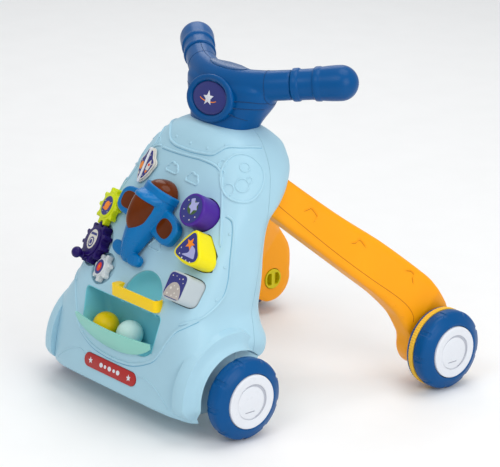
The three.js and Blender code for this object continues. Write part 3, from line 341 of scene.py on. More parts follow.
def prism(points, z0, z1, M=None):
    """Closed prism of a 2-D outline in a local frame M (4x4 in working mm)."""
    n = len(points)
    v = [Vector((p[0], p[1], z0)) for p in points] + [Vector((p[0], p[1], z1)) for p in points]
    if M is not None:
        v = [M @ q for q in v]
    f = [tuple(range(n - 1, -1, -1)), tuple(n + i for i in range(n))]
    f += [(i, (i + 1) % n, n + (i + 1) % n, n + i) for i in range(n)]
    return [tuple(q) for q in v], f


def ellipse(cx, cy, a, b, n=64):
    return [(cx + a * math.cos(2 * math.pi * i / n), cy + b * math.sin(2 * math.pi * i / n)) for i in range(n)]


def rounded(corners, r, n=8):
    out = []
    m = len(corners)
    for i, c in enumerate(corners):
        p, q = corners[i - 1], corners[(i + 1) % m]
        u, w = (p[0] - c[0], p[1] - c[1]), (q[0] - c[0], q[1] - c[1])
        lu, lw = math.hypot(*u), math.hypot(*w)
        k = min(r, lu / 2.05, lw / 2.05)
        a = (c[0] + u[0] / lu * k, c[1] + u[1] / lu * k)
        b = (c[0] + w[0] / lw * k, c[1] + w[1] / lw * k)
        for j in range(n + 1):
            t = j / n
            out.append(((1 - t) ** 2 * a[0] + 2 * t * (1 - t) * c[0] + t * t * b[0], (1 - t) ** 2 * a[1] + 2 * t * (1 - t) * c[1] + t * t * b[1]))
    return out


def star(r0, r1, n=5, cx=0, cy=0, rot=math.pi / 2):
    return [(cx + (r0 if i % 2 == 0 else r1) * math.cos(rot + math.pi * i / n), cy + (r0 if i % 2 == 0 else r1) * math.sin(rot + math.pi * i / n)) for i in range(2 * n)]


def move2(pts, dx, dy, rot=0.0, s=1.0):
    c, q = math.cos(rot), math.sin(rot)
    return [(dx + s * (x * c - y * q), dy + s * (x * q + y * c)) for x, y in pts]


def T(x, y, z):
    return Matrix.Translation((x, y, z))


def R(a, ax):
    return Matrix.Rotation(a, 4, ax)


LEAN = math.radians(30)
PANEL = T(0, -63, 155) @ R(math.pi / 2 - LEAN, "X")


def tube(points, r, mat, name="tube", seg=8, closed=False, flat=1.0, normals=None):
    """Round ridge through row-frame points."""
    pts = [Vector(p) for p in points]
    n = len(pts)
    rings = []
    for i, p in enumerate(pts):
        a = pts[(i - 1) % n] if closed else pts[max(0, i - 1)]
        b = pts[(i + 1) % n] if closed else pts[min(n - 1, i + 1)]
        t = (b - a).normalized()
        nn = normals[i] if normals else Vector((0, 0, 1))
        side = t.cross(nn).normalized()
        up = side.cross(t).normalized()
        k = 1.0
        if not closed and (i == 0 or i == n - 1):
            k = 0.25
        rings.append([p + side * (r * k * math.cos(2 * math.pi * j / seg)) + up * (r * k * flat * math.sin(2 * math.pi * j / seg)) for j in range(seg)])
    v = [q for rr in rings for q in rr]
    f = []
    for k in range(n if closed else n - 1):
        for j in range(seg):
            l, m = (j + 1) % seg, (k + 1) % n
            f.append((k * seg + j, k * seg + l, m * seg + l, m * seg + j))
    if not closed:
        f.append(tuple(range(seg)))
        f.append(tuple((n - 1) * seg + j for j in range(seg - 1, -1, -1)))
    return make(name, v, f, mat, 60, row=True)


def catmull(pts, per=8, closed=False):
    pts = [Vector(p) for p in pts]
    n = len(pts)
    out = []
    for i in range(n if closed else n - 1):
        if closed:
            p0, p1, p2, p3 = pts[i - 1], pts[i], pts[(i + 1) % n], pts[(i + 2) % n]
        else:
            p0, p1, p2, p3 = pts[max(0, i - 1)], pts[i], pts[i + 1], pts[min(n - 1, i + 2)]
        for j in range(per):
            t = j / per
            out.append(0.5 * ((2 * p1) + (p2 - p0) * t + (2 * p0 - 5 * p1 + 4 * p2 - p3) * t * t + (3 * p1 - p0 - 3 * p2 + p3) * t**3))
    if not closed:
        out.append(pts[-1])
    return out


class Surface:
    """Nearest-point helper on a finished piece."""

    def __init__(self, o):
        b = bmesh.new()
        b.from_mesh(o.data)
        self.t = BVHTree.FromBMesh(b)
        b.free()

    def near(self, p, lift=0.0):
        loc, n, _, _ = self.t.find_nearest(p)
        return loc + n * lift, n

    def ridge(self, pts, r, mat, name, lift=0.0, flat=0.8, per=8, closed=False, mirror=False, seg=8):
        res = []
        for sgn in ((1, -1) if mirror else (1,)):
            line = catmull([P(sgn * p[0], p[1], p[2]) for p in pts], per, closed)
            hits = [self.near(q, lift / 1000) for q in line]
            res.append(tube([h[0] for h in hits], r / 1000, mat, name, seg, closed, flat, [h[1] for h in hits]))
        return res

    def dome(self, p, r, h, mat, name, seg=16, mirror=False):
        res = []
        for sgn in ((1, -1) if mirror else (1,)):
            c, n = self.near(P(sgn * p[0], p[1], p[2]))
            q = n.to_track_quat("Z", "Y").to_matrix().to_4x4()
            q.translation = c
            rings = []
            for k in range(6):
                a = k / 5 * math.pi / 2
                rings.append([q @ Vector((r / 1000 * math.cos(a) * math.cos(2 * math.pi * j / seg), r / 1000 * math.cos(a) * math.sin(2 * math.pi * j / seg), h / 1000 * math.sin(a) - 0.0003)) for j in range(seg)] if k < 5 else [q @ Vector((1e-6 * math.cos(2 * math.pi * j / seg), 1e-6 * math.sin(2 * math.pi * j / seg), h / 1000 - 0.0003)) for j in range(seg)])
            v, f = loft(rings)
            res.append(make(name, v, f, mat, 60, row=True))
        return res


# ---------------------------------------------------------------- body
BODY = [
    [31, 126, -80, 46, 7], [38, 139, -88, 56, 6.6], [62, 149, -85, 66, 5.8], [90, 153, -78.5, 77, 5.5], [112, 152, -73, 80, 5.5],
    [133, 144, -68, 77, 5.2], [155, 133, -63, 84, 4.6], [185, 131, -45.7, 91, 4.2], [228, 127, -20.9, 98, 3.7], [262, 123, -1.2, 110, 3.4],
    [284, 118, 11.5, 138, 3.35], [306, 112.5, 24.2, 155, 3.3], [328, 104, 36.9, 163, 3.3], [347, 89, 48, 164, 3.2], [361, 74, 56.5, 154, 3.1],
    [371, 56, 67, 141, 2.8], [376, 38, 78, 128, 2.6],
]
zs = [b[0] for b in BODY]
F = [pchip(zs, [b[k] for b in BODY]) for k in range(1, 5)]


def body_ring(z, shrink=0.0, count=144, dz=0.0):
    a, yf, yr, n = (f(z) for f in F)
    fr = max(0.0, min(1.0, (62 - z) / 24))
    drop = 10 * min(1, fr * 1.0) if z < 38 else 8.5 * fr
    widen = 0.06 * fr + (0.07 * (38 - z) / 7 if z < 38 else 0)
    out = []
    for x, y, zz in super_ring(a - shrink, yf + shrink, yr - shrink, n, z + dz, count):
        q = min(1, abs(x / 118)) ** 3 * max(0.0, min(1.0, (y + 86) / 32))
        out.append((x * (1 + widen * q), y, zz - drop * q))
    return out


def quarter(z0, r, sign):
    return [(r * (1 - math.cos(a)), z0 + sign * r * (1 - math.sin(a))) for a in [math.pi / 2 * k / 5 for k in range(6)]]


rings = []
for k in range(5):
    a = math.pi / 2 * k / 5
    rings.append(body_ring(31, 5 * (1 - math.sin(a)), dz=5 * (1 - math.cos(a)) * 0 + 0.0 + 0.6 * k))
zz = np.concatenate([np.linspace(34, 62, 8), np.linspace(66, 158, 22), np.linspace(162, 340, 34), np.linspace(343, 374, 14)])
rings += [body_ring(float(z)) for z in zz]
rings += [body_ring(376, s, dz=d) for s, d in ((1, 0), (6, 0.3), (12, 0.5))]
v, f = loft(rings)
body = make("body_work", v, f, "body")
body_solid = bpy.data.objects.new("body_solid", body.data.copy())
COL.objects.link(body_solid)


def cut(o, vf, mat="body"):
    c = make("cutter", vf[0], vf[1], mat)
    boolean(o, c)


def box_vf(x0, x1, y0, y1, z0, z1):
    v = [(x, y, z) for z in (z0, z1) for x, y in ((x0, y0), (x1, y0), (x1, y1), (x0, y1))]
    return v, [(3, 2, 1, 0), (4, 5, 6, 7), (0, 1, 5, 4), (1, 2, 6, 5), (2, 3, 7, 6), (3, 0, 4, 7)]


for s in (1, -1):
    lipring = []
    for k in range(0, 61):
        a = math.radians(38 + (206 - 38) * k / 60)          # from the top of the wheel to the low front
        fade = min(1.0, k / 15, (60 - k) / 8)
        fade = fade * fade * (3 - 2 * fade)
        ring = []
        for x, r in [(132, 58.2), (158.5, 58.2), (159.8, 58.7), (160.3, 59.8), (159.8, 61.2), (157.6, 62.8), (154.6, 65.4), (152.2, 69.5), (150.8, 75), (149.6, 82), (140, 86), (132, 86)]:
            rr = 58.2 + (r - 58.2) * (0.35 + 0.65 * fade)
            xx = 132 + (x - 132) * (0.62 + 0.38 * fade)
            ring.append((s * xx, rr * math.cos(a), 55.5 + rr * math.sin(a)))
        lipring.append(ring)
    v, f = loft(lipring)
    boolean(body, make("fender", v, f, "body"), "UNION")
for s in (1, -1):
    prof = [(s * 121, 0), (s * 121, 58), (s * 123.5, 60.5), (s * 240, 60.5), (s * 240, 0)]
    # wheel arch well; its walls take the darker body blue as painted shade inside the arch
    cut(body, lathe_x(prof, 0, 55.5, 96), "bodyline")
    x0, x1 = sorted((s * 121, s * 240))
    tail = [(0, -20), (0, 94), (30, 94.5), (44, 96), (53, 98.6), (59, 102.6), (63.4, 108), (66.6, 115), (69.4, 123), (72.4, 131), (76, 139), (80, 143), (160, 144), (160, -20)]
    v, f = prism(tail, x0, x1)
    cut(body, ([(q[2], q[0], q[1]) for q in v], f))

# blocks' sockets, gear wells, niche, tray
BLOCK_AT = {"round": (75, 144.5), "triangle": (97, 94), "square": (100, 44.7)}
BLOCK_TOP = {"round": 20, "triangle": 17, "square": 16.5}
DEPTH = {"round": 13, "triangle": 16, "square": 19}
OUT = {
    "round": ellipse(0, 0, 22.5, 22.5, 72),
    "triangle": rounded([(-0.5, 32), (-17, 14), (-29, -10), (-5, -18), (13.5, -18.8), (24, -12.5), (25.4, -3), (17, 10)], 10, 8),
    "square": rounded([(-19.2, 19.4), (19.2, 19.4), (19.2, -19.4), (-19.2, -19.4)], 10, 8),
}


def grow(pts, d):
    cx, cy = sum(p[0] for p in pts) / len(pts), sum(p[1] for p in pts) / len(pts)
    out = []
    for x, y in pts:
        l = math.hypot(x - cx, y - cy)
        out.append((x + (x - cx) / l * d, y + (y - cy) / l * d))
    return out


for k, (x, y) in BLOCK_AT.items():
    # the socket walls take the dark teal, painted shade round each block
    cut(body, prism(move2(grow(OUT[k], 1.3), x, y), -DEPTH[k] - 0.5, 40, PANEL), "gap")

GEAR = PANEL @ T(-97, 56.5, -5) @ R(math.radians(-14), "Y")
MOD = 4.9
RP = {"lime": MOD * 5, "purple": MOD * 5.5, "grey": MOD * 3.5}
GP = {"purple": (0.0, 0.0), "lime": (0.8, RP["lime"] + RP["purple"] + 0.7)}
dd, aa = RP["purple"] + RP["grey"] + 0.7, math.radians(-38)
GP["grey"] = (dd * math.cos(aa), dd * math.sin(aa))
cut(body, prism(ellipse(*GP["purple"], 32.4, 32.4), -6.2, 40, GEAR))
cut(body, prism(ellipse(*GP["grey"], 22.8, 22.8), -10.2, 40, GEAR))

TX, TZ0, TZ1 = 80, 95.5, 155
tray = rounded([(-TX, TZ1), (-TX + 6, TZ0 + 8), (-58, TZ0), (58, TZ0), (TX - 6, TZ0 + 8), (TX, TZ1)], 7, 6)
bowl = rounded([(-TX, TZ1), (-TX + 8, 93.4), (-52, 85.4), (52, 85.4), (TX - 8, 93.4), (TX, TZ1)], 9, 6)
STAND = Matrix(((1, 0, 0, 0), (0, 0, -1, 0), (0, 1, 0, 0), (0, 0, 0, 1)))   # (x, z) drawn, extruded along -Y
cut(body, prism(tray, 55, 130, STAND))
cut(body, prism(grow(bowl, 1.6), 26.5, 74.5, STAND))


def arch(r, d=0.0):
    p = [(31 + r * math.cos(math.radians(a)), 14 + r * math.sin(math.radians(a))) for a in range(0, 181, 5)]
    return p + [(31 - r, -6), (31 + r, -6)]


cut(body, prism(arch(37), -31.4, 40, PANEL))
PLANE = PANEL @ T(-8.5, 107, 3.4) @ R(math.radians(-12), "Z") @ Matrix.Diagonal((1.1, 1.1, 0.92, 1))
cut(body, prism(ellipse(0, -24, 9, 9), -20, 20, PLANE))
PLATE = T(0, -84.6, 63) @ R(math.pi / 2 - math.atan(0.2326), "X")


def capsule(w, r, n=16):
    return [(w - r + r * math.cos(a), r * math.sin(a)) for a in [-math.pi / 2 + math.pi * i / n for i in range(n + 1)]] + [(-(w - r) + r * math.cos(a), r * math.sin(a)) for a in [math.pi / 2 + math.pi * i / n for i in range(n + 1)]]


cut(body, prism(capsule(55.6, 10.1), -1.0, 14, PLATE))
cut(body, box_vf(-11, 11, 80, 160, 228, 236))
cut(body, box_vf(-37, 37, 60, 160, 118, 190))
cut(body, lathe_x([(-121.5, 0), (-121.5, 3.4), (121.5, 3.4), (121.5, 0)], 0, 55.5, 24))
body_surface = Surface(body)

# front and back shells, parted by a fine seam
PSL = math.atan(0.30)
SEAM = T(0, 12, 33) @ R(-PSL, "X")


def shifted_box(y0, y1):
    v, f = box_vf(-300, 300, y0, y1, -300, 600)
    return [tuple(SEAM @ Vector(q)) for q in v], f


front = body
rear = bpy.data.objects.new("rear_work", body.data.copy())
COL.objects.link(rear)
cut(front, shifted_box(-0.22, 600))
cut(rear, shifted_box(-600, 0.22))
smooth(front, 32)
smooth(rear, 32)

# raised details of the front shell; the thin darker lines just below the ledge, field, trim and wave ridges are painted
# shadow
S = body_surface
det = []
ledge = [(81.1, 105.1, 354.0), (73.5, 77.8, 357.8), (60.4, 64.3, 357.0), (52.4, 54.6, 350.6), (44.8, 50.0, 346.3), (24, 47.3, 344.0), (5.1, 46.1, 343.2), (-12, 46.1, 343.2), (-25.2, 46.6, 343.8), (-38, 49, 346.4), (-46, 54, 350.5), (-54, 62, 356.5), (-66, 76, 358.2), (-81, 105, 354.0)]
det += S.ridge(ledge, 2.0, "body", "d_ledge", 0.2, 0.85)
det += S.ridge([(q[0], q[1], q[2] - 2.6) for q in ledge], 0.6, "bodyline", "d_shade", 0.0, 0.8)
for p in [(-31, 52.6, 352.7), (1, 50.8, 351.0), (34, 52.2, 351.7), (58, 62, 361.5), (-58, 62, 361.5)]:
    det += S.dome(p, 2.3, 1.3, "body", "d_rivet")
fieldl = [(-48.8, 43.5, 335.3), (-30, 42.4, 335.6), (-10.9, 42.1, 336.3), (12, 42.6, 337.2), (29.4, 43.3, 338.1), (52.5, 44.7, 336.6), (66.2, 45.3, 332.3), (76.4, 41.9, 323.2), (89.6, 31.2, 298.6), (103.8, 18.0, 270.7), (114, 8.5, 246)]
det += S.ridge(fieldl, 1.9, "body", "d_field", -0.3, 0.9)
det += S.ridge([(q[0], q[1], q[2] - 2.4) for q in fieldl], 0.55, "bodyline", "d_shade", 0.0, 0.8)
det += S.ridge([(-p[0], p[1], p[2]) for p in fieldl[5:]], 1.9, "body", "d_field2", -0.3, 0.9)
trim = [(104.1, 26.8, 281.3), (112, 30, 277), (116.3, 29, 269), (120.7, 24.3, 253.4), (125.6, 17.1, 228.9), (129.1, 10.1, 199.7), (130.8, -1.9, 179.9), (128.5, -31.9, 161.6), (109.6, -56.7, 151.3)]
det += S.ridge(trim, 1.8, "body", "d_trim", 0.1, 0.85, mirror=True)
det += S.ridge([(q[0], q[1] - 2.4, q[2] - 0.6) for q in trim], 0.55, "bodyline", "d_shade", 0.0, 0.8, mirror=True)
for p in [(117.0, 21.7, 261.1), (124.8, 7.1, 220.9), (129.6, -10.5, 180.6)]:
    det += S.dome(p, 2.5, 1.3, "body", "d_rivet", mirror=True)
wave = [(127.0, -36.8, 159.5), (118.4, -51.9, 151.3), (108.2, -60.1, 143.4), (97.2, -67.8, 125.9), (84.7, -74.4, 102.8), (68.2, -77.8, 91.6), (42.9, -80.1, 81.9), (15.5, -81.0, 78.4), (0, -81, 78)]
det += S.ridge(wave, 2.1, "body", "d_wave", 0.1, 0.8, mirror=True)
det += S.ridge([(q[0], q[1], q[2] - 2.8) for q in wave], 0.6, "bodyline", "d_shade", 0.0, 0.8, mirror=True)
det += S.ridge([(56, -84.2, 67), (66, -83.5, 71), (74.7, -83.0, 70), (86, -83, 67), (95.5, -83.0, 62.4), (108, -83, 54), (118.9, -82.4, 44)], 1.2, "body", "d_foot", 0.0, 0.75, mirror=True)


def crater(c, r, mirror=True):
    out = []
    for sgn in ((1, -1) if mirror else (1,)):
        p, n = S.near(P(sgn * c[0], c[1], c[2]))
        q = n.to_track_quat("Z", "Y").to_matrix().to_4x4()
        q.translation = p
        pts = [q @ Vector((r / 1000 * math.cos(math.radians(a)), r / 1000 * math.sin(math.radians(a)), 0)) for a in range(0, 360, 15)]
        hits = [S.near(h) for h in pts]
        out.append(tube([h[0] for h in hits], 1.2 / 1000, "body", "d_crater", 6, True, 0.85, [h[1] for h in hits]))
    return out


for c, r in [((67.3, 50.0, 338.4), 5.5), ((73.2, 44.4, 328.4), 4), ((92.0, 67.7, 336.2), 6.5), ((90.6, 40.4, 311.0), 8), ((101.2, 55.7, 316.4), 9), ((103.0, 66.2, 322.1), 4)]:
    det += crater(c, r)
moonc, moonn = S.near(P(97, 60, 326))
for sgn in (1, -1):
    mc, mn = S.near(P(sgn * 97, 60, 326))
    q = mn.to_track_quat("Z", "Y").to_matrix().to_4x4()
    q.translation = mc
    pts = [q @ Vector((0.034 * math.cos(math.radians(a)), 0.034 * math.sin(math.radians(a)), 0)) for a in range(0, 360, 6)]
    hits = [S.near(h) for h in pts]
    det.append(tube([h[0] for h in hits], 0.0018, "body", "d_moon", 8, True, 0.85, [h[1] for h in hits]))


def cloud(cx, cy, s=1.0):
    outl = []
    for x, y, r, a0, a1 in [(-9, 0, 4.5, 250, 90), (-3.5, 4.5, 5.5, 170, 40), (4.5, 3, 5, 120, 0), (9, -1.5, 3.8, 70, -90)]:
        for t in range(7):
            a = math.radians(a0 + (a1 - a0) * t / 6)
            outl.append((cx + s * (x + r * math.cos(a)), cy + s * (y + r * math.sin(a))))
    pts = []
    for x, y in outl:
        p = PANEL @ Vector((x, y, 4))
        pts.append((p.x, p.y, p.z))
    hits = [S.near(P(*p)) for p in pts]
    return [tube([h[0] for h in hits], 0.0016, "body", "d_cloud", 6, True, 0.75, [h[1] for h in hits])]


det += cloud(32, 182, 0.95)
det += cloud(-12, 186, 0.95)
det += cloud(16.6, 82, 0.9)
# rounded rim of the arch opening
rimp = [PANEL @ Vector((x, y, 0)) for x, y in arch(37)[:37]]
det += S.ridge([(p.x, p.y, p.z) for p in [PANEL @ Vector((x, y, 0)) for x, y in arch(37.6)[:37:2]]], 0.9, "body", "d_archrim", -0.2, 0.9, per=3)
front = join("front_shell_skin", [front] + det)
smooth(front, 38)
finish_piece(front, "frame", "body_blue", "front_shell")
rear.name = "rear_cover_skin"
# speaker grille slots and screw bosses on the back; the slots and the screw holes are sunk tubes and small domes in
# dark teal, painted shade rather than openings
rdet = []
RS = Surface(rear)
for i in range(6):
    w = [14, 19, 21, 21, 19, 14][i]
    z = 300 - i * 7
    rdet += RS.ridge([(-w, 165, z), (0, 165, z), (w, 165, z)], 1.1, "gap", "d_grille_shade", -0.5, 0.7)
for x, z in [(-62, 330), (62, 330), (-100, 120), (100, 120), (-95, 215), (95, 215)]:
    rdet += RS.dome((x, 170 if z > 250 else 110, z), 4.2, 0.9, "body", "d_boss")
    rdet += RS.dome((x, 170 if z > 250 else 110, z), 1.7, 1.2, "gap", "d_bosshole_shade")
rdet += RS.ridge([(-37.8, 100, 117.2), (-37.8, 100, 190.8)], 0.8, "body", "d_doorframe", 0, 0.7) + RS.ridge([(37.8, 100, 117.2), (37.8, 100, 190.8)], 0.8, "body", "d_doorframe", 0, 0.7) + RS.ridge([(-37.8, 100, 190.8), (0, 100, 190.8), (37.8, 100, 190.8)], 0.8, "body", "d_doorframe", 0, 0.7)
rear = join("rear_cover_skin2", [rear] + rdet)
rear.name = "rear_cover_skin"
smooth(rear, 38)
finish_piece(rear, "frame", "body_blue", "rear_cover")

# ---------------------------------------------------------------- tray and chute liners
def tub_ring(pts, y):
    return [(x, y, z) for x, z in pts]


tub = []
for d, y in [(0.8, -27.4), (1.2, -73.0), (0.2, -73.6), (0.0, -73.0)] + [(9 * (1 - math.cos(a)), -38 + 9 * math.sin(a)) for a in [math.pi / 2 * k / 7 for k in range(8)]]:
    tub.append(tub_ring(grow(bowl, 1.4 - d if y == -27.4 else (1.4 if y < -72 and d in (1.2, 0.2) else -d)), y))
v, f = loft(tub)
# tray liner in the brighter cyan, painted glow inside the tray
tubo = make("ball_tray_liner", v, f, "tray")
cut(tubo, prism([(NX, NZ) for NX, NZ in [(-3, 150), (65, 150), (65, 160), (-3, 160)]], 20, 60, STAND), "tray")
boolean(tubo, body_solid, "INTERSECT")
smooth(tubo, 40)
finish_piece(tubo, "frame", "tray_blue", "ball_tray")


def bandshell(r, depth):
    a = [math.radians(t) for t in range(0, 181, 6)]
    return [(31 + r, -1.5, depth)] + [(31 + r * math.cos(t), 14 + r * math.sin(t), depth) for t in a] + [(31 - r, -1.5, depth)]


shell_rows = []
for k in range(15):
    ph = math.pi / 2 * k / 14
    r = 36.2 * max(0.02, math.cos(ph)) ** 0.55
    dd_ = -2.2 - 26.0 * math.sin(ph)
    inn = bandshell(r, dd_)
    out_ = bandshell(r + 0.7, dd_ - 0.7 * math.sin(ph))
    shell_rows.append([tuple(PANEL @ Vector(q)) for q in inn + out_[::-1]])
v, f = loft(shell_rows)
# chute liner in the same brighter cyan, painted glow inside the niche
bsh = make("arch_chute_liner", v, f, "tray", 45)
# room for the balls as they are lifted out of the tray
for bx, by_ in ((-49, -54), (-3, -49.5)):
    dome = [[(bx + 18.9 * math.cos(2 * math.pi * i / 64), by_ + 18.9 * math.sin(2 * math.pi * i / 64), z) for i in range(64)] for z in (96, 134.4)]
    for k in range(1, 9):
        a = math.pi / 2 * k / 8
        r = 18.9 * math.cos(a) if k < 8 else 0.02
        dome.append([(bx + r * math.cos(2 * math.pi * i / 64), by_ + r * math.sin(2 * math.pi * i / 64), 134.4 + 18.9 * math.sin(a)) for i in range(64)])
    cut(bsh, loft(dome), "tray")
smooth(bsh, 45)
finish_piece(bsh, "frame", "tray_blue", "ball_chute")

# ---------------------------------------------------------------- lip, visor, plate
lipm = rounded([(-21, 0), (-21, -16.2), (75, -16.2), (75, 0)], 7.5, 8)
v, f = prism([(x, -52 + y) for x, y in lipm], 159.6, 175.0)
lip = make("ball_lip_band", v, f, "lip")
cut(lip, prism([(x, -52 + y) for x, y in rounded([(-9, 9), (-9, -13.2), (72, -13.2), (72, 9)], 5.5, 6)], 150, 190), "lip")
bevel(lip, 1.0, 3)
finish_piece(lip, "frame", "lip_yellow", "ball_chute_lip")

rings = []
for t in range(0, 13):
    w = t / 12
    z = 90 + 31 * w
    dep = 80.6 + 11 * math.sin(w * math.pi / 2) ** 0.9
    ring = []
    for i in range(49):
        u = -1 + i / 24
        ring.append((u * 81, -dep + 10 * u * u, z))
    for i in range(49):
        u = 1 - i / 24
        ring.append((u * 78.4, -dep + 2.6 + 10 * u * u, z))
    rings.append(ring)
v, f = loft(rings)
visor = make("tray_visor_scoop", v, f, "mint")
arc = [(82 - 164 * i / 48, 119 - 28 * (1 - (2 * i / 48 - 1) ** 2) ** 0.64) for i in range(49)]
v, f = prism([(x, z) for x, z in arc] + [(-82, 120.5), (82, 120.5)], 60, 130, STAND)
boolean(visor, make("c", v, f, "mint"), "INTERSECT")
bevel(visor, 0.9, 3, 40)
VS = Surface(visor)
finish_piece(visor, "frame", "mint", "ball_tray_visor")

v, f = prism(capsule(55, 9.5, 24), -0.8, 1.6, PLATE)
plate = make("name_plate_red", v, f, "red")
bevel(plate, 0.5, 2)
bits = [plate]
for x in (-41, 41):
    v, f = prism(star(4.6, 2.0, 5, x, 0, math.pi / 2 + 0.2), 1.5, 2.0, PLATE)
    bits.append(make("s", v, f, "white"))
for i, (w, x) in enumerate([(7, -18), (5, -9.5), (7, 0), (5, 9.5), (7, 18)]):
    v, f = prism(move2(ellipse(0, 0, w / 2, 2.4 if i % 2 else 3.2, 20), x, 0), 1.5, 1.9, PLATE)
    bits.append(make("s", v, f, "white"))
plate = join("name_plate_badge", bits)
smooth(plate, 40)
finish_piece(plate, "frame", "plate_red", "name_plate")

# ---------------------------------------------------------------- handle
BAR = [[0, 112, 426], [30, 115, 427], [60, 124.5, 430], [90, 142, 434.5], [120, 163, 439], [148, 183, 443], [160, 191.6, 444.7]]
by = pchip([-30] + [b[0] for b in BAR], [115] + [b[1] for b in BAR])
bz = pchip([-30] + [b[0] for b in BAR], [427] + [b[2] for b in BAR])


def bar_at(x):
    s = 1 if x >= 0 else -1
    c = Vector((x, by(abs(x)), bz(abs(x))))
    e = 0.5
    a = Vector((x - e, by(abs(x - e)), bz(abs(x - e))))
    b = Vector((x + e, by(abs(x + e)), bz(abs(x + e))))
    return c, (b - a).normalized()


def bar_ring(x, r, shift=0.0, n=64):
    c, t = bar_at(x)
    c = c + t * shift
    side = t.cross(Vector((0, 0, 1))).normalized()
    up = side.cross(t).normalized()
    return [tuple(c + side * (r * math.cos(2 * math.pi * i / n)) + up * (r * math.sin(2 * math.pi * i / n))) for i in range(n)]


COLUMN = [[358, 49, 76, 142], [370, 53, 75.5, 146], [382, 58.5, 78, 152], [393, 66, 81.5, 157], [404, 74, 84.5, 159], [414, 78, 87.5, 156], [424, 77.5, 89, 150], [433, 69, 94, 144], [441, 54, 98.5, 138], [446.5, 30, 106, 130]]
CZ = [c[0] for c in COLUMN]
CF = [pchip(CZ, [c[k] for c in COLUMN]) for k in (1, 2, 3)]
rings = [super_ring(CF[0](z), CF[1](z), CF[2](z), 2.5, z, 96) for z in [float(q) for q in np.linspace(366, 446.5, 44)]]
v, f = loft(rings)
col = make("col", v, f, "blue")
xs = [float(q) for q in np.linspace(-96, 96, 97)]
rb = pchip([0, 10, 40, 70, 96, 110], [22.3, 22.1, 21.2, 20.4, 20.2, 20.2])
v, f = loft([bar_ring(x, rb(abs(x))) for x in xs])
bar = make("bar", v, f, "blue")
boolean(col, bar, "UNION")
rm = col.modifiers.new("r", "REMESH")
rm.mode = "VOXEL"
rm.voxel_size = 0.0016
sm = col.modifiers.new("s", "SMOOTH")
sm.iterations = 9
sm.factor = 0.6
apply_mods(col)
EMB = T(0, 84.5, 407) @ R(math.pi / 2 - 0.30, "X")
ring_rows = []
for (r, h) in [(42.5, -20), (45.0, -3), (46.0, 0.4), (45.6, 2.2), (44.2, 3.5), (41.6, 4.2), (38.4, 4.2), (35.9, 3.2), (35.0, 1.2), (34.8, 0.2)]:
    ring_rows.append([tuple(EMB @ Vector((r * math.cos(2 * math.pi * i / 96), r * 29 / 42 * math.sin(2 * math.pi * i / 96) if r > 35.5 else r * 22.6 / 34.6 * math.sin(2 * math.pi * i / 96), h))) for i in range(96)])
v, f = loft(ring_rows)
emr = make("emr", v, f, "blue")
boolean(col, emr, "UNION")
v, f = prism(ellipse(0, 0, 34.7, 22.7, 96), 0.0, 16, EMB)
boolean(col, make("pk", v, f, "blue"))
HS = Surface(col)
# shell parting line along the bar, carved as a fine slot whose walls take the darker blue as painted shade
par = []
for x in [float(q) for q in np.linspace(-110, 110, 89)]:
    c, t = bar_at(x)
    par.append((c.x, c.y))
lo = [(x, y - 0.35) for x, y in par]
hi = [(x, y + 0.35) for x, y in reversed(par)]
v, f = prism(lo + hi, 360, 470)
sheet = make("sheet", v, f, "blueline")
boolean(col, sheet)
# groove lines and a ring round the bar, sunk tubes in the darker blue: painted shade in the grooves
hd = []
for s in (1, -1):
    hd += HS.ridge([(s * 41.5, 87, 411.0), (s * 59.8, 94.1, 412.5), (s * 72, 108, 412), (s * 77, 122, 410.5)], 0.9, "blueline", "d_groove_shade", -0.45, 0.9)
    hd += HS.ridge([(s * 44.5, 84.8, 401.9), (s * 58, 91, 402.7), (s * 70, 106, 402.4), (s * 73, 118, 401)], 0.9, "blueline", "d_groove_shade", -0.45, 0.9)
    hd += HS.ridge([(s * 46, 80, 392), (s * 56, 88, 388), (s * 62, 100, 384)], 0.8, "blueline", "d_groove_shade", -0.45, 0.9)
for s in (1, -1):
    for xr in (68.0,):
        ring = []
        c0, t0 = bar_at(s * xr)
        for i in range(72):
            q = Vector(bar_ring(s * xr, rb(xr) + 3, n=72)[i])
            hit, nn = HS.near(P(*q), -0.0002)
            ring.append((hit, nn))
        hd.append(tube([r_[0] for r_ in ring], 0.0006, "blueline", "d_barring_shade", 6, True, 1.0, [r_[1] for r_ in ring]))
handle = join("handle_moulding", [col] + hd)
smooth(handle, 40)
finish_piece(handle, "frame", "deep_blue", "handle_front_shell", "handle_rear_shell")

rows = []
for k in range(9):
    a = math.pi / 2 * k / 8
    r = 34.0 * math.cos(a) ** 0.45 if k < 8 else 0.02
    h = 0.4 + 3.0 * math.sin(a) ** 0.8
    rows.append([tuple(EMB @ Vector((r * math.cos(2 * math.pi * i / 96), r * 22 / 34 * math.sin(2 * math.pi * i / 96), h))) for i in range(96)])
rows.insert(0, [tuple(EMB @ Vector((34 * math.cos(2 * math.pi * i / 96), 22 * math.sin(2 * math.pi * i / 96), -0.2))) for i in range(96)])
v, f = loft(rows)
emb = make("emblem", v, f, "navy")
EMT = EMB @ T(0, 0, 3.1)
bits = [emb]
v, f = prism(move2(star(10.5, 4.6), 0, -0.5, 0.12), -0.4, 0.75, EMT)
bits.append(bevel(make("st", v, f, "white"), 0.25, 2))
for x, y, r in [(-17, 4, 1.5), (17, 5, 1.9), (-14, -7, 1.1), (15.5, -7.5, 1.3), (-8, 11, 0.9), (9, 12, 1.0), (22, -1, 0.8), (-23, -1, 0.8)]:
    v, f = prism(ellipse(x, y, r, r, 20), -0.8, 0.35 - 0.0011 * (x * x + y * y * 2.4), EMT)
    bits.append(make("st", v, f, "white"))
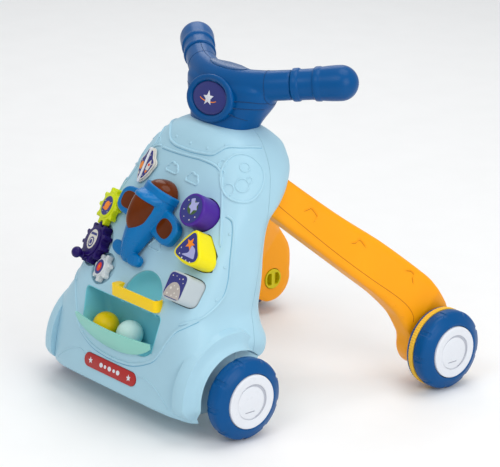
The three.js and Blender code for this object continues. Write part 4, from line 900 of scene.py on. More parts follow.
# a thin swoosh orbiting the star
sw = [(17.5 * math.cos(t), 5.2 * math.sin(t) - 0.5) for t in [math.radians(a) for a in range(195, 346, 6)]] + [(16.2 * math.cos(t), 3.9 * math.sin(t) - 0.5) for t in [math.radians(a) for a in range(345, 194, -6)]]
v, f = prism(sw, -0.5, 0.45, EMT)
bits.append(make("st", v, f, "st_orange"))
emb = join("handle_emblem_badge", bits)
smooth(emb, 45)
finish_piece(emb, "frame", "navy", "handle_emblem")

rows = []
for k in range(8):
    a = math.pi / 2 * k / 7
    s = math.cos(a) ** 0.6 if k < 7 else 0.001
    ring = []
    for i in range(96):
        t = 2 * math.pi * i / 96
        x, y = 36 * s * math.cos(t), 116 + 14 * s * math.sin(t)
        q, nn = HS.near(P(x, y, 450))
        ring.append(q + Vector((0, 0, 0.0005 + 0.0011 * math.sin(a))))
    rows.append(ring)
v, f = loft(rows)
capo = make("handle_top_cap_gloss", v, f, "cap", 60, row=True)
finish_piece(capo, "frame", "cap_gloss", "handle_top_cap")

GR = [(96.3, 18.5), (96.3, 20.6), (97.2, 22.0), (98.5, 22.3), (102.8, 22.3), (103.8, 21.6), (104.6, 20.6), (108, 20.5), (118, 20.7), (120.0, 21.0), (121.0, 22.6), (122.0, 23.1), (126.6, 23.2), (127.6, 22.6), (128.8, 22.5), (134, 23.1), (141, 23.6), (148, 23.7)]
for side in (1, -1):
    rings = []
    for x, r in GR:
        rings.append(bar_ring(side * x, r, n=72))
    for k in range(1, 13):
        a = math.pi / 2 * k / 12
        sft = 23.3 * math.sin(a)
        r = 23.7 * math.cos(a) if k < 12 else 0.05
        rings.append(bar_ring(side * 148, r, side * sft, n=72))
    v, f = loft(rings)
    g = make(("right" if side > 0 else "left") + "_grip_sleeve", v, f, "blue", 40)
    finish_piece(g, "frame", "deep_blue", ("right" if side > 0 else "left") + "_grip")

# ---------------------------------------------------------------- legs
LP, LD = Vector((80, 310.4)), Vector((0.749, -0.663))
LM = Vector((0.663, 0.749))


def at(t, s):
    p = LP + LD * t + LM * s
    return (p.x, p.y)


UP = [at(10, 34), at(24, 35.5), at(90, 37.2), at(140, 39.4), at(205, 45), at(250, 46.2), at(278, 46.3), at(300, 45.5), (346, 130), (357, 114), (363, 103), (366, 90), (366.5, 74), (365.5, 60), (361, 44), (352, 31), (341, 22.8)]
LO = [at(10, -17.3), at(24, -17.5), at(90, -17.5), at(140, -17.6), at(205, -17.8), at(250, -18.2), at(271, -20.5), at(289, -24), at(300, -28.5), (290.3, 78.6), (293.2, 70), (294, 63), (294.2, 55), (295.6, 46), (300, 36), (308, 27), (318, 21.4)]
uy, uz = [pchip(range(len(UP)), [p[k] for p in UP]) for k in (0, 1)]
ly, lz = [pchip(range(len(LO)), [p[k] for p in LO]) for k in (0, 1)]


def leg_x(y, z):
    t = (y - LP.x) * LD.x + (z - LP.y) * LD.y
    k = max(0.0, min(1.0, (t - 20) / 298))
    e = 0.10
    kk = k if k < 1 - e else 1 - e + (k - 1 + e) * 0.999
    return 62 + 87 * kk, 97 + 85 * kk


for side in (1, -1):
    nm = "right" if side > 0 else "left"
    rings = []
    m = len(UP) - 1
    cnt = 0
    for i in range(0, m * 6 + 1):
        q = i / 6
        U, L = Vector((uy(q), uz(q))), Vector((ly(q), lz(q)))
        C, H = (U + L) / 2, (U - L) / 2
        half = H.length
        d = H.normalized()
        ring = []
        for j in range(56):
            t = 2 * math.pi * (j + 0.5) / 56
            c, s = math.cos(t), math.sin(t)
            # rounded rectangle of corner radius 6.5 mm, point by direction
            hw, rr = 17.5, 6.5
            w = max(half, rr + 0.5)
            k = 1 / max(abs(c) / hw, abs(s) / w)
            px, ps = c * k, s * k
            cx, cs = hw - rr, w - rr
            if abs(px) > cx and abs(ps) > cs:
                ax, as_ = abs(px) - cx, abs(ps) - cs
                l = math.hypot(ax, as_)
                px = math.copysign(cx + ax / l * rr, px)
                ps = math.copysign(cs + as_ / l * rr, ps)
            pos = C + d * ps
            xi, xo = leg_x(pos.x, pos.y)
            x = (xi + xo) / 2 + px * (xo - xi) / 35
            ring.append((side * x, pos.x, pos.y))
        rings.append(ring)
    # last rings close the foot
    v, f = loft(rings)
    leg = make(nm + "_leg_work", v, f, "orange")
    xa, xb = (147, 162.6) if side > 0 else (-162.6, -147)
    # round foot boss, and knob well
    foot = make("foot", *lathe_x([(side * 150, 0), (side * 150, 32.5), (side * 151, 34.6), (side * 153, 35.8), (side * 178, 35.8), (side * 180.6, 34.6), (side * 181.8, 32.5), (side * 181.8, 0)], 330, 55.5, 96), "orange")
    boolean(leg, foot, "UNION")
    well = make("well", *lathe_x([(side * 120, 0), (side * 120, 15.8), (side * 162.5, 15.8), (side * 162.5, 0)], 330, 55.5, 72), "orange")
    boolean(leg, well)
    LS = Surface(leg)
    LB = []
    # seam between the outer cover and the inner shell, a sunk line in darker orange: painted shade in the seam
    seam = []
    for t, sv in [(30, 0.5), (53, -1.2), (80, -2.6), (110, -4.0), (145, -5.2), (180, -5.7), (210, -5.4), (232, -4.8), (252, -3.9), (267, -3.6), (278, -4.0), (287, -5.0), (295, -7.0), (301, -9.6), (306, -13.5), (309, -19)]:
        y, z = at(t, sv)
        xi, xo = leg_x(y, z)
        seam.append((side * xo, y, z))
    LB += LS.ridge(seam, 0.55, "orangeline", "d_legseam_shade", -0.15, 0.8, per=4)
    # second sunk seam line along the top face, also in the darker orange as painted shade
    top = []
    for t in range(36, 300, 12):
        s = np.interp(t, [24, 90, 140, 205, 250, 292], [35.5, 37.2, 39.4, 45, 46.2, 46.3]) - 1
        y, z = at(t, s)
        xi, xo = leg_x(y, z)
        top.append((side * (xi + (xo - xi) * 0.28), y, z))
    LB += LS.ridge(top, 0.5, "orangeline", "d_legseam_shade", -0.15, 0.8, per=4)
    # star-crack shapes on the outer face: raised orange lines, each with a thin darker orange line just below it as
    # painted shadow
    for mark in ([(83.5, 14.4), (88.7, 21.6), (91.6, 24.3), (103.4, 20.8), (104.3, 17.7), (103.9, 10.7)], [(166.2, 19.2), (172.6, 22.6), (174.2, 28.9), (179.6, 29.4), (190.4, 25.9)], [(257.0, 33.2), (265.4, 37.9), (272.6, 36.5), (272.4, 31.7), (279.8, 25.0)]):
        line = []
        for a, b in mark:
            y, z = at(a, b)
            xi, xo = leg_x(y, z)
            line.append((side * xo, y, z))
        LB += LS.ridge(line, 0.7, "orange", "d_mark", 0.1, 0.9, per=2, seg=6)
        LB += LS.ridge([(q[0], q[1] - 1.2, q[2] - 1.6) for q in line], 0.45, "orangeline", "d_mark_shadow", -0.1, 0.9, per=2, seg=6)
    for (y, z) in [at(253.7, -13.6), at(271.8, -16.0), at(291.0, -22.0)]:
        xi, xo = leg_x(y, z)
        LB += LS.dome((side * xo, y, z), 2.0, 0.9, "orange", "d_bump")
    leg = join(nm + "_leg_moulding", [leg] + LB)
    smooth(leg, 38)
    finish_piece(leg, "frame", "orange", nm + "_leg_outer_cover", nm + "_leg_inner_shell")

# ---------------------------------------------------------------- wheels


def treads(h0, h1, amp=1.3, count=9, phase=0.3):
    def w(x, r, a):
        ax = abs(x)
        if ax < h0 or ax > h1 or r < 47:
            return 0.0
        u = (a + phase) / (2 * math.pi) * count
        u -= math.floor(u)
        e = 0.03
        k = min(1.0, max(0.0, min(u - 0.07, 0.93 - u) / e))
        k *= min(1.0, max(0.0, (ax - h0) / 1.2), max(0.0, (h1 - ax) / 1.2))
        return amp * k
    return w


def fine(profile, step=1.6):
    out = []
    for i in range(len(profile)):
        a = profile[i]
        out.append(a)
        if i + 1 < len(profile):
            b = profile[i + 1]
            l = math.hypot(b[0] - a[0], b[1] - a[1])
            n = int(l / step) if min(a[1], b[1]) > 45 else 0
            for k in range(1, n):
                out.append((a[0] + (b[0] - a[0]) * k / n, a[1] + (b[1] - a[1]) * k / n))
    return out


def hubcap(h, s, y, r):
    prof = [(s * (h - 5.6), 0), (s * (h - 5.6), r), (s * (h + 0.3), r), (s * (h + 1.3), r - 0.4), (s * (h + 1.9), r - 1.5), (s * (h + 2.0), r - 3), (s * (h + 1.9), r - 6), (s * (h + 1.5), r - 9), (s * (h + 1.5), 0)]
    o = make("hc", *lathe_x(prof, y, 55.5, 128), "white")
    M = T(s * (h + 1.5), y, 55.5) @ (R(math.pi / 2, "Z") @ R(math.pi / 2, "X") if s > 0 else R(-math.pi / 2, "Z") @ R(math.pi / 2, "X"))
    # eccentric ring: a shallow crescent round a raised middle; the crescent floor and the slot walls are a greyer
    # white, painted shade in the recesses
    c = make("c", *prism(ellipse(0, 0, 24.5, 24.5, 96), -1.7, 3, M), "white")
    boolean(o, c)
    rows = []
    for (rr, hh) in [(22.2, -2.2), (22.2, -0.3), (21.8, 0.1), (20.8, 0.3), (0.02, 0.3)]:
        rows.append([tuple(M @ Vector((-2.1 + rr * math.cos(2 * math.pi * i / 96), -0.5 + rr * math.sin(2 * math.pi * i / 96), hh))) for i in range(96)])
    v, f = loft(rows)
    mid = make("mid", v, f, "white")
    arcs = [math.radians(a) for a in range(-72, 109, 4)]
    cres = [(24.3 * math.cos(a), 24.3 * math.sin(a)) for a in arcs] + [(-2.1 + 22.5 * math.cos(a), -0.5 + 22.5 * math.sin(a)) for a in reversed(arcs)]
    mid = join("mid", [mid, make("cr", *prism(cres, -1.72, -1.5, M), "whiteline")])
    boolean(mid, make("sl", *prism(rounded([(-12, -13.6), (3.5, -13.6), (3.5, -12.2), (-12, -12.2)], 0.6, 3), -0.5, 3, M), "whiteline"))
    return o, mid


def wheel_front(side):
    s, H = side, 190
    b = 3.3
    prof = [(s * (H - 33), b), (s * (H - 33), 44), (s * (H - 31), 48.5), (s * (H - 27), 51.9), (s * (H - 22), 53.6), (s * (H - 16), 54.1), (s * (H - 11), 53.8), (s * (H - 8), 52.7), (s * (H - 5.2), 50.2), (s * (H - 2.4), 45.5), (s * (H - 0.6), 41.5), (s * H, 39.3), (s * (H - 0.5), 37.7), (s * (H - 6), 37.4), (s * (H - 6), b)]
    return make("w", *lathe_x(fine(prof), 0, 55.5, 252, treads(H - 27.5, H - 4.8)), "blue", 30)


for side in (1, -1):
    nm = "right" if side > 0 else "left"
    w = wheel_front(side)
    w = join(nm + "_front_wheel_moulding", [w])
    smooth(w, 30)
    finish_piece(w, nm + "_front_wheel_set", "deep_blue", nm + "_front_wheel")
    hc = join(nm + "_front_hubcap_disc", list(hubcap(190, side, 0, 36.9)))
    smooth(hc, 35)
    finish_piece(hc, nm + "_front_wheel_set", "white", nm + "_front_hubcap")
    s, Q = side, 229
    prof = [(s * (Q - 25), 3.4), (s * (Q - 25), 53.4), (s * (Q - 24), 53.9), (s * (Q - 16), 54.1), (s * (Q - 11), 53.8), (s * (Q - 8), 52.7), (s * (Q - 5.2), 50.2), (s * (Q - 2.4), 45.5), (s * (Q - 0.6), 41.5), (s * Q, 39.3), (s * (Q - 0.5), 37.3), (s * (Q - 6), 36.9), (s * (Q - 6), 3.4)]
    w = join(nm + "_rear_wheel_outer_moulding", [make("w", *lathe_x(fine(prof), 330, 55.5, 252, treads(Q - 22, Q - 4.8)), "blue")])
    smooth(w, 30)
    finish_piece(w, nm + "_rear_wheel_set", "deep_blue", nm + "_rear_wheel_outer")
    prof = [(s * (Q - 45), 3.4), (s * (Q - 45), 40), (s * (Q - 43.4), 44.5), (s * (Q - 40), 50.5), (s * (Q - 37), 53.6), (s * (Q - 35), 54.6), (s * (Q - 33.4), 54.4), (s * (Q - 33.4), 46), (s * (Q - 25.4), 46), (s * (Q - 25.4), 3.4)]
    w = join(nm + "_rear_wheel_inner_moulding", [make("w", *lathe_x(prof, 330, 55.5, 160), "blue")])
    smooth(w, 30)
    finish_piece(w, nm + "_rear_wheel_set", "deep_blue", nm + "_rear_wheel_inner")
    ribs = lambda x, r, a: (0.28 * math.sin(a * 90) if r > 54 else 0)
    prof = [(s * (Q - 33.1), 46.3), (s * (Q - 33.1), 54.6), (s * (Q - 32.4), 55.15), (s * (Q - 26.2), 55.15), (s * (Q - 25.5), 54.6), (s * (Q - 25.5), 46.3)]
    w = join(nm + "_traction_band_tyre", [make("w", *lathe_x(prof, 330, 55.5, 720, ribs), "band")])
    smooth(w, 30)
    finish_piece(w, nm + "_rear_wheel_set", "band_rubber", nm + "_traction_band")
    hc = join(nm + "_rear_hubcap_disc", list(hubcap(229, side, 330, 36.2)))
    smooth(hc, 35)
    finish_piece(hc, nm + "_rear_wheel_set", "white", nm + "_rear_hubcap")

# ---------------------------------------------------------------- gears


def gear_outline(teeth, phase, add=2.7, ded=3.3):
    rp = MOD * teeth / 2
    p = []
    for i in range(teeth):
        c, w = phase + 2 * math.pi * i / teeth, 2 * math.pi / teeth
        for f_, r in [(-0.33, rp - ded), (-0.25, rp - 2.2), (-0.20, rp - 0.4), (-0.165, rp + 1.4), (-0.115, rp + add - 0.3), (-0.05, rp + add), (0.05, rp + add), (0.115, rp + add - 0.3), (0.165, rp + 1.4), (0.20, rp - 0.4), (0.25, rp - 2.2), (0.33, rp - ded)]:
            p.append((r * math.cos(c + f_ * w), r * math.sin(c + f_ * w)))
    return p


def flat(pts, z0, z1, M, mat):
    v, f = prism(pts, z0, z1, M)
    return make("x", v, f, mat)


TEETH = {"lime": 10, "purple": 11, "grey": 7}
aL = math.atan2(GP["lime"][1], GP["lime"][0])
aG = math.atan2(GP["grey"][1], GP["grey"][0])
wP = 2 * math.pi / 11
phP = aL
phL = aL + math.pi + math.pi / 10
off = ((aG - phP) / wP) % 1
phG = aG + math.pi + (off - 0.5) * 2 * math.pi / 7
# lime gear
x, y = GP["lime"]
o = flat(move2(gear_outline(10, phL), x, y), 0, 9, GEAR, "lime")
bevel(o, 0.9, 3, 50)
hub = flat(ellipse(x, y, 17.5, 17.5), 8, 10.2, GEAR, "lime")
bevel(hub, 0.8, 2, 50)
bits = [o, hub, flat(ellipse(x, y, 13.6, 13.6), 10.1, 10.5, GEAR, "st_navy")]
G2 = GEAR @ T(x, y, 0)
bits += [flat(ellipse(0.3, 0, 6.6, 6.6, 40), 10.4, 10.72, G2, "st_orange")]
bits += [flat(move2([(9.8 * math.cos(t), 3.4 * math.sin(t)) for t in [math.radians(a) for a in range(150, 391, 8)]] + [(8.2 * math.cos(t), 2.1 * math.sin(t)) for t in [math.radians(a) for a in range(390, 149, -8)]], 0.3, 0, 0.5), 10.6, 10.9, G2, "st_orange")]
bits += [flat(ellipse(a, b, r, r, 12), 10.4, 10.7, G2, "st_cream") for a, b, r in [(-9, 6, .7), (8, -8, .8), (9.5, 5.5, .6), (-7, -8.5, .6)]]
o = join("lime_gear_toy", bits)
smooth(o, 40)
finish_piece(o, "lime", "lime", "lime_gear")
# crank gear and knob
o = flat(gear_outline(11, phP), -5, 9, GEAR, "deep")
bevel(o, 0.9, 3, 50)
hub = flat(ellipse(0, 0, 20.5, 20.5), 8, 11.2, GEAR, "deep")
bevel(hub, 1.0, 3, 50)
bits = [o, hub, flat(ellipse(1.5, 3.0, 12.2, 13.8), 11.1, 11.5, GEAR, "st_cream"), flat(ellipse(1.5, -1.0, 7.2, 7.2), 11.4, 11.75, GEAR, "st_navy"), flat(ellipse(1.5, -1.0, 5.2, 5.2), 11.6, 12.0, GEAR, "st_cream"), flat(ellipse(1.5, -1.0, 3.4, 3.4), 11.9, 12.2, GEAR, "st_navy")]
bits += [flat([(-7.5, 9), (10.5, 9), (9, 12.2), (-6, 12.2)], 11.4, 11.75, GEAR, "st_navy")]
o = join("crank_gear_toy", bits)
smooth(o, 40)
finish_piece(o, "crank", "dark_purple", "crank_gear")
K = (-9, -21.5)
prof = [(1.0, 0), (1.0, 2.2), (9.4, 2.3), (9.4, 4.6), (10.2, 5.2), (11.4, 4.6), (14, 4.6), (15.2, 5.6), (16.6, 6.9), (18.6, 7.7), (20.6, 7.8), (22.8, 7.1), (24.6, 5.8), (26, 4), (26.8, 2), (27, 0)]
rows = [[tuple(GEAR @ Vector((K[0] + max(r, 0.02) * math.cos(2 * math.pi * i / 48), K[1] + max(r, 0.02) * math.sin(2 * math.pi * i / 48), z))) for i in range(48)] for z, r in prof]
v, f = loft(rows)
o = make("crank_knob_ball", v, f, "deep", 50)
finish_piece(o, "crank", "dark_purple", "crank_knob")
# grey gear
x, y = GP["grey"]
o = flat(move2(gear_outline(7, phG, 2.3, 3.3), x, y), -8.5, 0.2, GEAR, "grey")
bevel(o, 0.8, 3, 50)
hub = flat(ellipse(x, y, 12.2, 12.2), -0.4, 2.3, GEAR, "grey")
bevel(hub, 0.6, 2, 50)
G2 = GEAR @ T(x, y, 0)
bits = [o, hub, flat(ellipse(0, 0, 10.2, 10.2), 2.2, 2.6, G2, "st_navy"), flat(ellipse(0, 0, 5.6, 6.2, 40), 2.5, 2.85, G2, "st_red")]
bits += [flat(move2(star(3.0, 1.3), 0.3, 0.4), 2.8, 3.1, G2, "st_orange")]
o = join("grey_gear_toy", bits)
smooth(o, 40)
finish_piece(o, "grey", "light_grey", "grey_gear")

# ---------------------------------------------------------------- blocks
CM = {"round": "purple", "triangle": "lemon", "square": "square"}
for k, (x, y) in BLOCK_AT.items():
    M = PANEL @ T(x, y, 0)
    low, top = -DEPTH[k] + 0.5, BLOCK_TOP[k]
    prof = [(0.8, low), (0, low + 1)] + [(0, z) for z in np.linspace(low + 2, top - 2.6, 6)] + [(0.12, top - 1.9), (0.5, top - 1.1), (1.1, top - 0.45), (2.0, top - 0.08), (3.0, top)]
    v, f = loft([[tuple(M @ Vector((p[0], p[1], z))) for p in grow(OUT[k], -d)] for d, z in prof])
    o = make("blk", v, f, CM[k], 50)
    bits = [o]
    if k == "round":
        bits += [flat(ellipse(0, 0, 19.0, 19.0), top - 0.1, top + 0.3, M, "st_navy"), flat(ellipse(1.5, 2.5, 9.5, 9.5, 48), top + 0.25, top + 0.55, M, "st_green")]
        land = rounded([(-9, 9), (-3, 13), (0, 7), (7, 11), (6, 4), (10, 0), (4, -2), (2, -9), (-1, -3), (-7, -2), (-5, 3)], 1.5, 3)
        bits += [flat(move2(land, 1, 2.5, -0.15), top + 0.5, top + 0.8, M, "st_lilac")]
        bits += [flat(ellipse(a, b, r, r, 12), top + 0.25, top + 0.5, M, "st_cream") for a, b, r in [(-11, 10, .8), (12, -8, .9), (-8, -12, .7), (4, -14, 1.0), (-13, -3, .8)]]
    elif k == "triangle":
        bits += [flat(grow(OUT[k], -4.2), top - 0.1, top + 0.3, M, "st_navy")]
        bits += [flat(move2(star(8.6, 3.9), -1.0, 8.5, -0.25), top + 0.25, top + 0.6, M, "st_orange")]
        bits += [flat(rounded([(3, 8), (12, 4), (16, -9), (-10, -8), (2, -3)], 3, 4), top + 0.22, top + 0.45, M, "st_lilac")]
        bits += [flat(ellipse(a, b, r, r, 12), top + 0.25, top + 0.5, M, "st_cream") for a, b, r in [(-13, -8, 1.0), (-6, -12.0, 1.2), (3, -13.5, 1.0), (11, -14, 1.2), (-14, 0, .8)]]
    else:
        bits += [flat(grow(OUT[k], -2.6), top - 0.1, top + 0.25, M, "st_navy")]
        moon = [(14.5 * math.cos(t), -16 + 21 * math.sin(t)) for t in [math.radians(a) for a in range(0, 181, 10)]]
        moon = [(max(-15.2, min(15.2, px * 1.05)), py) for px, py in moon]
        bits += [flat(moon, top + 0.2, top + 0.5, M, "st_moon")]
        bits += [flat(ellipse(a, b, r, r * 0.9, 16), top + 0.45, top + 0.62, M, "st_cream") for a, b, r in [(-6, -4, 1.9), (4, -9, 1.3), (7, -2, 1.6), (-1, 0, 1.0), (-9, -12, 1.5), (0, -13, 1.2), (10, -12, 1.0)]]
        bits += [flat(ellipse(a, b, r, r, 12), top + 0.22, top + 0.45, M, "st_cream") for a, b, r in [(-11, 12, .9), (-4, 13, .6), (9, 12, 1.0), (12, 7, .6), (3, 10.5, .7)]]
    o = join(k + "_block_toy", bits)
    smooth(o, 50)
    finish_piece(o, k + "_toy", {"round": "purple", "triangle": "lemon", "square": "light_grey"}[k], k + "_block")

# ---------------------------------------------------------------- airplane


def half_ring(y, w, h, z0=1.2, n=40, e=2.2):
    r = []
    for i in range(n + 1):
        a = math.pi * i / n
        c, s = math.cos(a), math.sin(a)
        r.append((w * math.copysign(abs(c) ** (2 / e), c), y, z0 + h * abs(s) ** (2 / e)))
    return r


def loft_local(rows, M, mat, name="l"):
    v, f = loft([[tuple(M @ Vector(p)) for p in r] for r in rows])
    return make(name, v, f, mat, 40)


fw = pchip([-54, -50, -44, -34, -20, -4, 12, 26, 36], [3.5, 8.5, 11.0, 13.8, 17.2, 21.5, 26.0, 27.6, 26.8])
fh = pchip([-54, -50, -44, -34, -20, -4, 12, 26, 36], [6, 12, 16.5, 22, 27.5, 31.5, 33.5, 33.0, 31.0])
fus = loft_local([half_ring(float(y), fw(float(y)), fh(float(y)), e=2.1) for y in np.linspace(-54, 36.5, 46)], PLANE, "plane")
collar = loft_local([half_ring(y, w, h) for y, w, h in [(35.6, 25.6, 29.5), (35.8, 27.2, 31.2), (36.6, 28.0, 32.0), (43.8, 28.0, 32.0), (45.0, 27.2, 31.2), (45.3, 25.0, 29.0)]], PLANE, "plane")
boolean(fus, collar, "UNION")
frame_arch = loft_local([half_ring(y, w, h) for y, w, h in [(24.6, 18, 40), (25.0, 22.0, 45.4), (26.0, 22.8, 46.4), (29.0, 23.4, 46.0), (31.5, 23.6, 43.0), (34.0, 24.0, 38.0), (36.0, 24.0, 33.0)]], PLANE, "plane")
boolean(fus, frame_arch, "UNION")


def lobe(cx, cy, a, b, rot, n=2.4, cnt=72):
    pts = []
    for i in range(cnt):
        t = 2 * math.pi * i / cnt
        c, s = math.cos(t), math.sin(t)
        pts.append((a * math.copysign(abs(c) ** (2 / n), c), b * math.copysign(abs(s) ** (2 / n), s)))
    return move2(pts, cx, cy, rot)


def pad_solid(pts, z0, z1, M, mat, rnd=3.0):
    rows = [[tuple(M @ Vector((p[0], p[1], z0))) for p in grow(pts, -0.6)], [tuple(M @ Vector((p[0], p[1], z0 + 0.8))) for p in pts]]
    for k in range(7):
        a = math.pi / 2 * k / 6
        rows.append([tuple(M @ Vector((p[0], p[1], z1 - rnd + rnd * math.sin(a)))) for p in grow(pts, -rnd * (1 - math.cos(a)))])
    v, f = loft(rows)
    return make("pad", v, f, mat, 40)


for s in (1, -1):
    wing = pad_solid(lobe(s * 35.2, 10.2, 26.0, 17.6, s * -0.14, 2.9), 1.2, 13.5, PLANE, "plane", 3.5)
    boolean(fus, wing, "UNION")
    fin = pad_solid(lobe(s * 17.5, -44.5, 12.0, 7.6, s * 0.16), 1.2, 11, PLANE, "plane", 3.0)
    boolean(fus, fin, "UNION")
rm = fus.modifiers.new("r", "REMESH")
rm.mode = "VOXEL"
rm.voxel_size = 0.0007
sm = fus.modifiers.new("s", "SMOOTH")
sm.iterations = 3
sm.factor = 0.5
apply_mods(fus)
ridge_pts = [PLANE @ Vector((0, float(y), 1.2 + fh(float(y)))) for y in np.linspace(-50, -16, 8)]
FS = Surface(fus)
bits = [fus] + FS.ridge([(p.x, p.y, p.z) for p in ridge_pts], 0.9, "plane", "d_spine", 0.0, 0.8)
o = join("airplane_moulding", bits)
smooth(o, 45)
finish_piece(o, "airplane", "plane_blue", "airplane_body")
stem = None
lens = []
lens.append(loft_local([half_ring(y, w, h, 1.6) for y, w, h in [(44, 23.4, 26.8), (46.3, 22.6, 25.8), (48.6, 20.9, 23.8), (50.9, 18.7, 21.2), (53.2, 15.8, 17.8), (55.3, 12.0, 13.5), (57.0, 7.4, 8.4), (57.8, 3.0, 3.6)]], PLANE, "lens"))
cw = pchip([-15, -12, -6, 2, 10, 18, 23, 25.4], [3, 10.0, 15.6, 19.2, 21.0, 21.8, 21.8, 21.4])
chh = pchip([-15, -12, -6, 2, 10, 18, 23, 25.4], [29, 33.5, 38.5, 42.2, 44.4, 45.4, 45.6, 45.2])
lens.append(loft_local([half_ring(float(y), cw(float(y)), chh(float(y)), 1.6, 40, 2.0) for y in np.linspace(-14.8, 25.4, 30)], PLANE, "lens"))
for s in (1, -1):
    lens.append(pad_solid(lobe(s * 40.0, 9.6, 14.0, 11.0, s * -0.16, 2.6), 6, 14.6, PLANE, "lens", 1.6))
o = join("airplane_windows", lens)
smooth(o, 45)
finish_piece(o, "airplane", "lens_brown", "airplane_lens")

# ---------------------------------------------------------------- flip book
BOOK = PANEL @ T(-62, 178, -1.2) @ R(-0.06, "Y")
PAGE = [(-0.4, -24.5), (2.4, -24.5), (8, -20), (12, -15), (15.8, -9), (17.6, -3.6), (21.5, 4), (19.8, 9.5), (13.4, 14), (10.4, 20.5), (7, 26), (-0.4, 26)]
page = rounded(PAGE, 3, 5)
LEFT = BOOK @ R(math.radians(-17), "Y") @ Matrix.Diagonal((-1, 1, 1, 1))


def page_bits(M, warm):
    bt = [bevel(flat(page, 1.4, 4, M, "st_cream"), 0.5, 2, 50)]
    bt.append(flat([(2.6 + (x - 2.6) * 0.82 if x > 2.6 else 2.6, y * 0.88) for x, y in page], 3.95, 4.25, M, "st_navy"))
    bt.append(flat(ellipse(10, -1.0, 5.2, 5.8, 32), 4.2, 4.5, M, "st_orange" if warm else "st_lilac"))
    bt.append(flat(move2(star(3.0, 1.3), 9, -12), 4.2, 4.5, M, "st_cream"))
    bt += [flat(ellipse(a_, b_, r_, r_, 12), 4.2, 4.45, M, "st_cream") for a_, b_, r_ in [(5.5, 14, .9), (14.6, 5.6, .8), (5, 6.5, .6)]]
    return bt


bits = page_bits(BOOK, False) + page_bits(LEFT, True)
bits.append(bevel(flat([(-2.0, -24.6), (2.0, -24.6), (2.0, 25.6), (-2.0, 25.6)], 3.4, 6.0, BOOK, "white"), 0.8, 3, 50))
o = join("flip_book_plate", bits)
smooth(o, 40)
finish_piece(o, "frame", "white", "flip_book_base")
leafo = rounded([(2.9, -22.5), (7.6, -18.4), (11.2, -14.2), (14.8, -8.8), (16.8, -3.6), (20.6, 4), (19.0, 9.0), (12.8, 13.4), (9.8, 19.6), (6.4, 24.6), (2.9, 24.6)], 3, 5)
o = flat(leafo, 4.6, 6.0, BOOK, "st_cream")
bevel(o, 0.35, 2, 50)
bits = [o, flat([(3.9 + (x - 2.9) * 0.8, y * 0.88) for x, y in leafo], 5.95, 6.2, BOOK, "st_navy")]
rocket = rounded([(-3, -7), (3, -7), (3.8, 1), (0, 9), (-3.8, 1)], 2, 4)
bits += [flat(move2(rocket, 10.2, 1, -0.15), 6.15, 6.4, BOOK, "st_cream"), flat(ellipse(10.4, 2, 1.9, 1.9, 20), 6.35, 6.55, BOOK, "st_red"), flat(move2([(-2.4, -7.5), (2.4, -7.5), (0, -12)], 10.2, 1, -0.15), 6.15, 6.4, BOOK, "st_orange")]
bits += [flat(ellipse(a, b, r, r, 12), 6.15, 6.35, BOOK, "st_cream") for a, b, r in [(5.6, 15, .8), (16.0, 4, 1.0), (5.2, -14, .7), (11.5, -11, .6)]]
o = join("flip_book_page", bits)
smooth(o, 40)
finish_piece(o, "book_leaf", "white", "flip_book_leaf")

# ---------------------------------------------------------------- balls: one shell each, with a fine groove round the middle as the seam
for nm, body_, c, mt, sl in (("yellow_ball", "ball_yellow", (-49, -54, 104), "ballyellow", "lip_yellow"), ("mint_ball", "ball_mint", (-3, -49.5, 104), "ballmint", "mint")):
    rows = []
    Mb = T(*c) @ R(0.5, "X") @ R(0.35, "Y")
    for k in range(0, 65):
        a = -math.pi / 2 + math.pi * k / 64
        r = 18.2 * math.cos(a) if 0 < k < 64 else 0.02
        z = 18.2 * math.sin(a)
        if k == 32:
            r -= 0.35
        rows.append([tuple(Mb @ Vector((r * math.cos(2 * math.pi * i / 96), r * math.sin(2 * math.pi * i / 96), z))) for i in range(96)])
    v, f = loft(rows)
    o = make(nm + "_shell", v, f, mt, 50)
    finish_piece(o, body_, sl, nm)

# ---------------------------------------------------------------- CAD nodes that stay
KEEP = {
    "battery_box": "body", "battery_cell_1": "dark", "battery_cell_2": "dark", "battery_cell_3": "dark",
    "battery_door": "body", "battery_door_screw": "steel", "circuit_board": "board", "speaker": "dark", "power_switch": "white",
    "right_speed_knob": "knob", "left_speed_knob": "knob", "right_rear_axle": "steel", "left_rear_axle": "steel", "front_axle": "steel",
    "lime_gear_pin": "grey", "crank_gear_pin": "grey", "grey_gear_pin": "grey",
}
for n_, m_ in KEEP.items():
    ob = N[n_]
    ob.data.materials.clear()
    ob.data.materials.append(MAT[m_])
    if n_ in ("battery_door", "power_switch", "right_speed_knob", "left_speed_knob"):
        bv = ob.modifiers.new("edge", "BEVEL")
        bv.width = 0.0006
        bv.segments = 2
        bv.limit_method = "ANGLE"
        bv.angle_limit = math.radians(35)

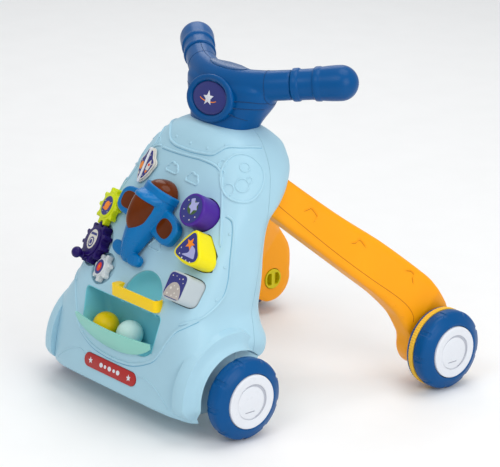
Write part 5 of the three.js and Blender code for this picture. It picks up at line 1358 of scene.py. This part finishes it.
# ---------------------------------------------------------------- stage
w = bpy.data.worlds.new("w")
bpy.context.scene.world = w
w.use_nodes = True
bg = w.node_tree.nodes["Background"]
bg.inputs[0].default_value = (0.95, 0.97, 1.0, 1)
bg.inputs[1].default_value = 0.6
bpy.ops.mesh.primitive_plane_add(size=12, location=(0, 0.5, -0.0006))
floor = bpy.context.object
floor.name = "floor"
fm = plastic("m_floor", 0xF4F4F3, 0.6, 0.008, 0.01, 200, 0)
floor.data.materials.append(fm)


def area(name, loc, size, power, target=(0, 0, 0.2), color=(1, 1, 1)):
    l = bpy.data.lights.new(name, "AREA")
    l.energy = power
    l.shape = "DISK"
    l.size = size
    l.color = color
    o = bpy.data.objects.new(name, l)
    o.location = loc
    o.rotation_euler = (Vector(target) - Vector(loc)).to_track_quat("-Z", "Y").to_euler()
    COL.objects.link(o)


area("key", (0.7, -1.8, 2.3), 1.3, 12)
area("fill", (2.4, -0.2, 1.3), 1.6, 20)
area("rim", (-1.6, 1.2, 1.8), 1.4, 9)
area("top", (0.3, 0.5, 2.8), 2.0, 25)

cam_d = bpy.data.cameras.new("cam")
cam = bpy.data.objects.new("cam", cam_d)
COL.objects.link(cam)
az, el, roll, fpx, D = math.radians(49.32), math.radians(18.79), math.radians(0.72), 2509, 3.432
back = Vector((math.sin(az) * math.cos(el), -math.cos(az) * math.cos(el), math.sin(el)))
right = Vector((math.cos(az), math.sin(az), 0))
upv = back.cross(right)
tgt = Vector((0, (150 + SH) / 1000, 0.2))
cr, sr = math.cos(roll), math.sin(roll)
r2 = right * cr + upv * sr
u2 = upv * cr - right * sr
cam.location = tgt + back * D + r2 * 0.0053 + u2 * 0.0033
cam.rotation_mode = "QUATERNION"
cam.rotation_quaternion = Matrix((r2, u2, back)).transposed().to_quaternion()
cam_d.sensor_width = 36
cam_d.lens = fpx / 500 * 36
cam_d.clip_start, cam_d.clip_end = 0.1, 50
bpy.context.scene.camera = cam
bpy.context.scene.view_settings.view_transform = "Standard"
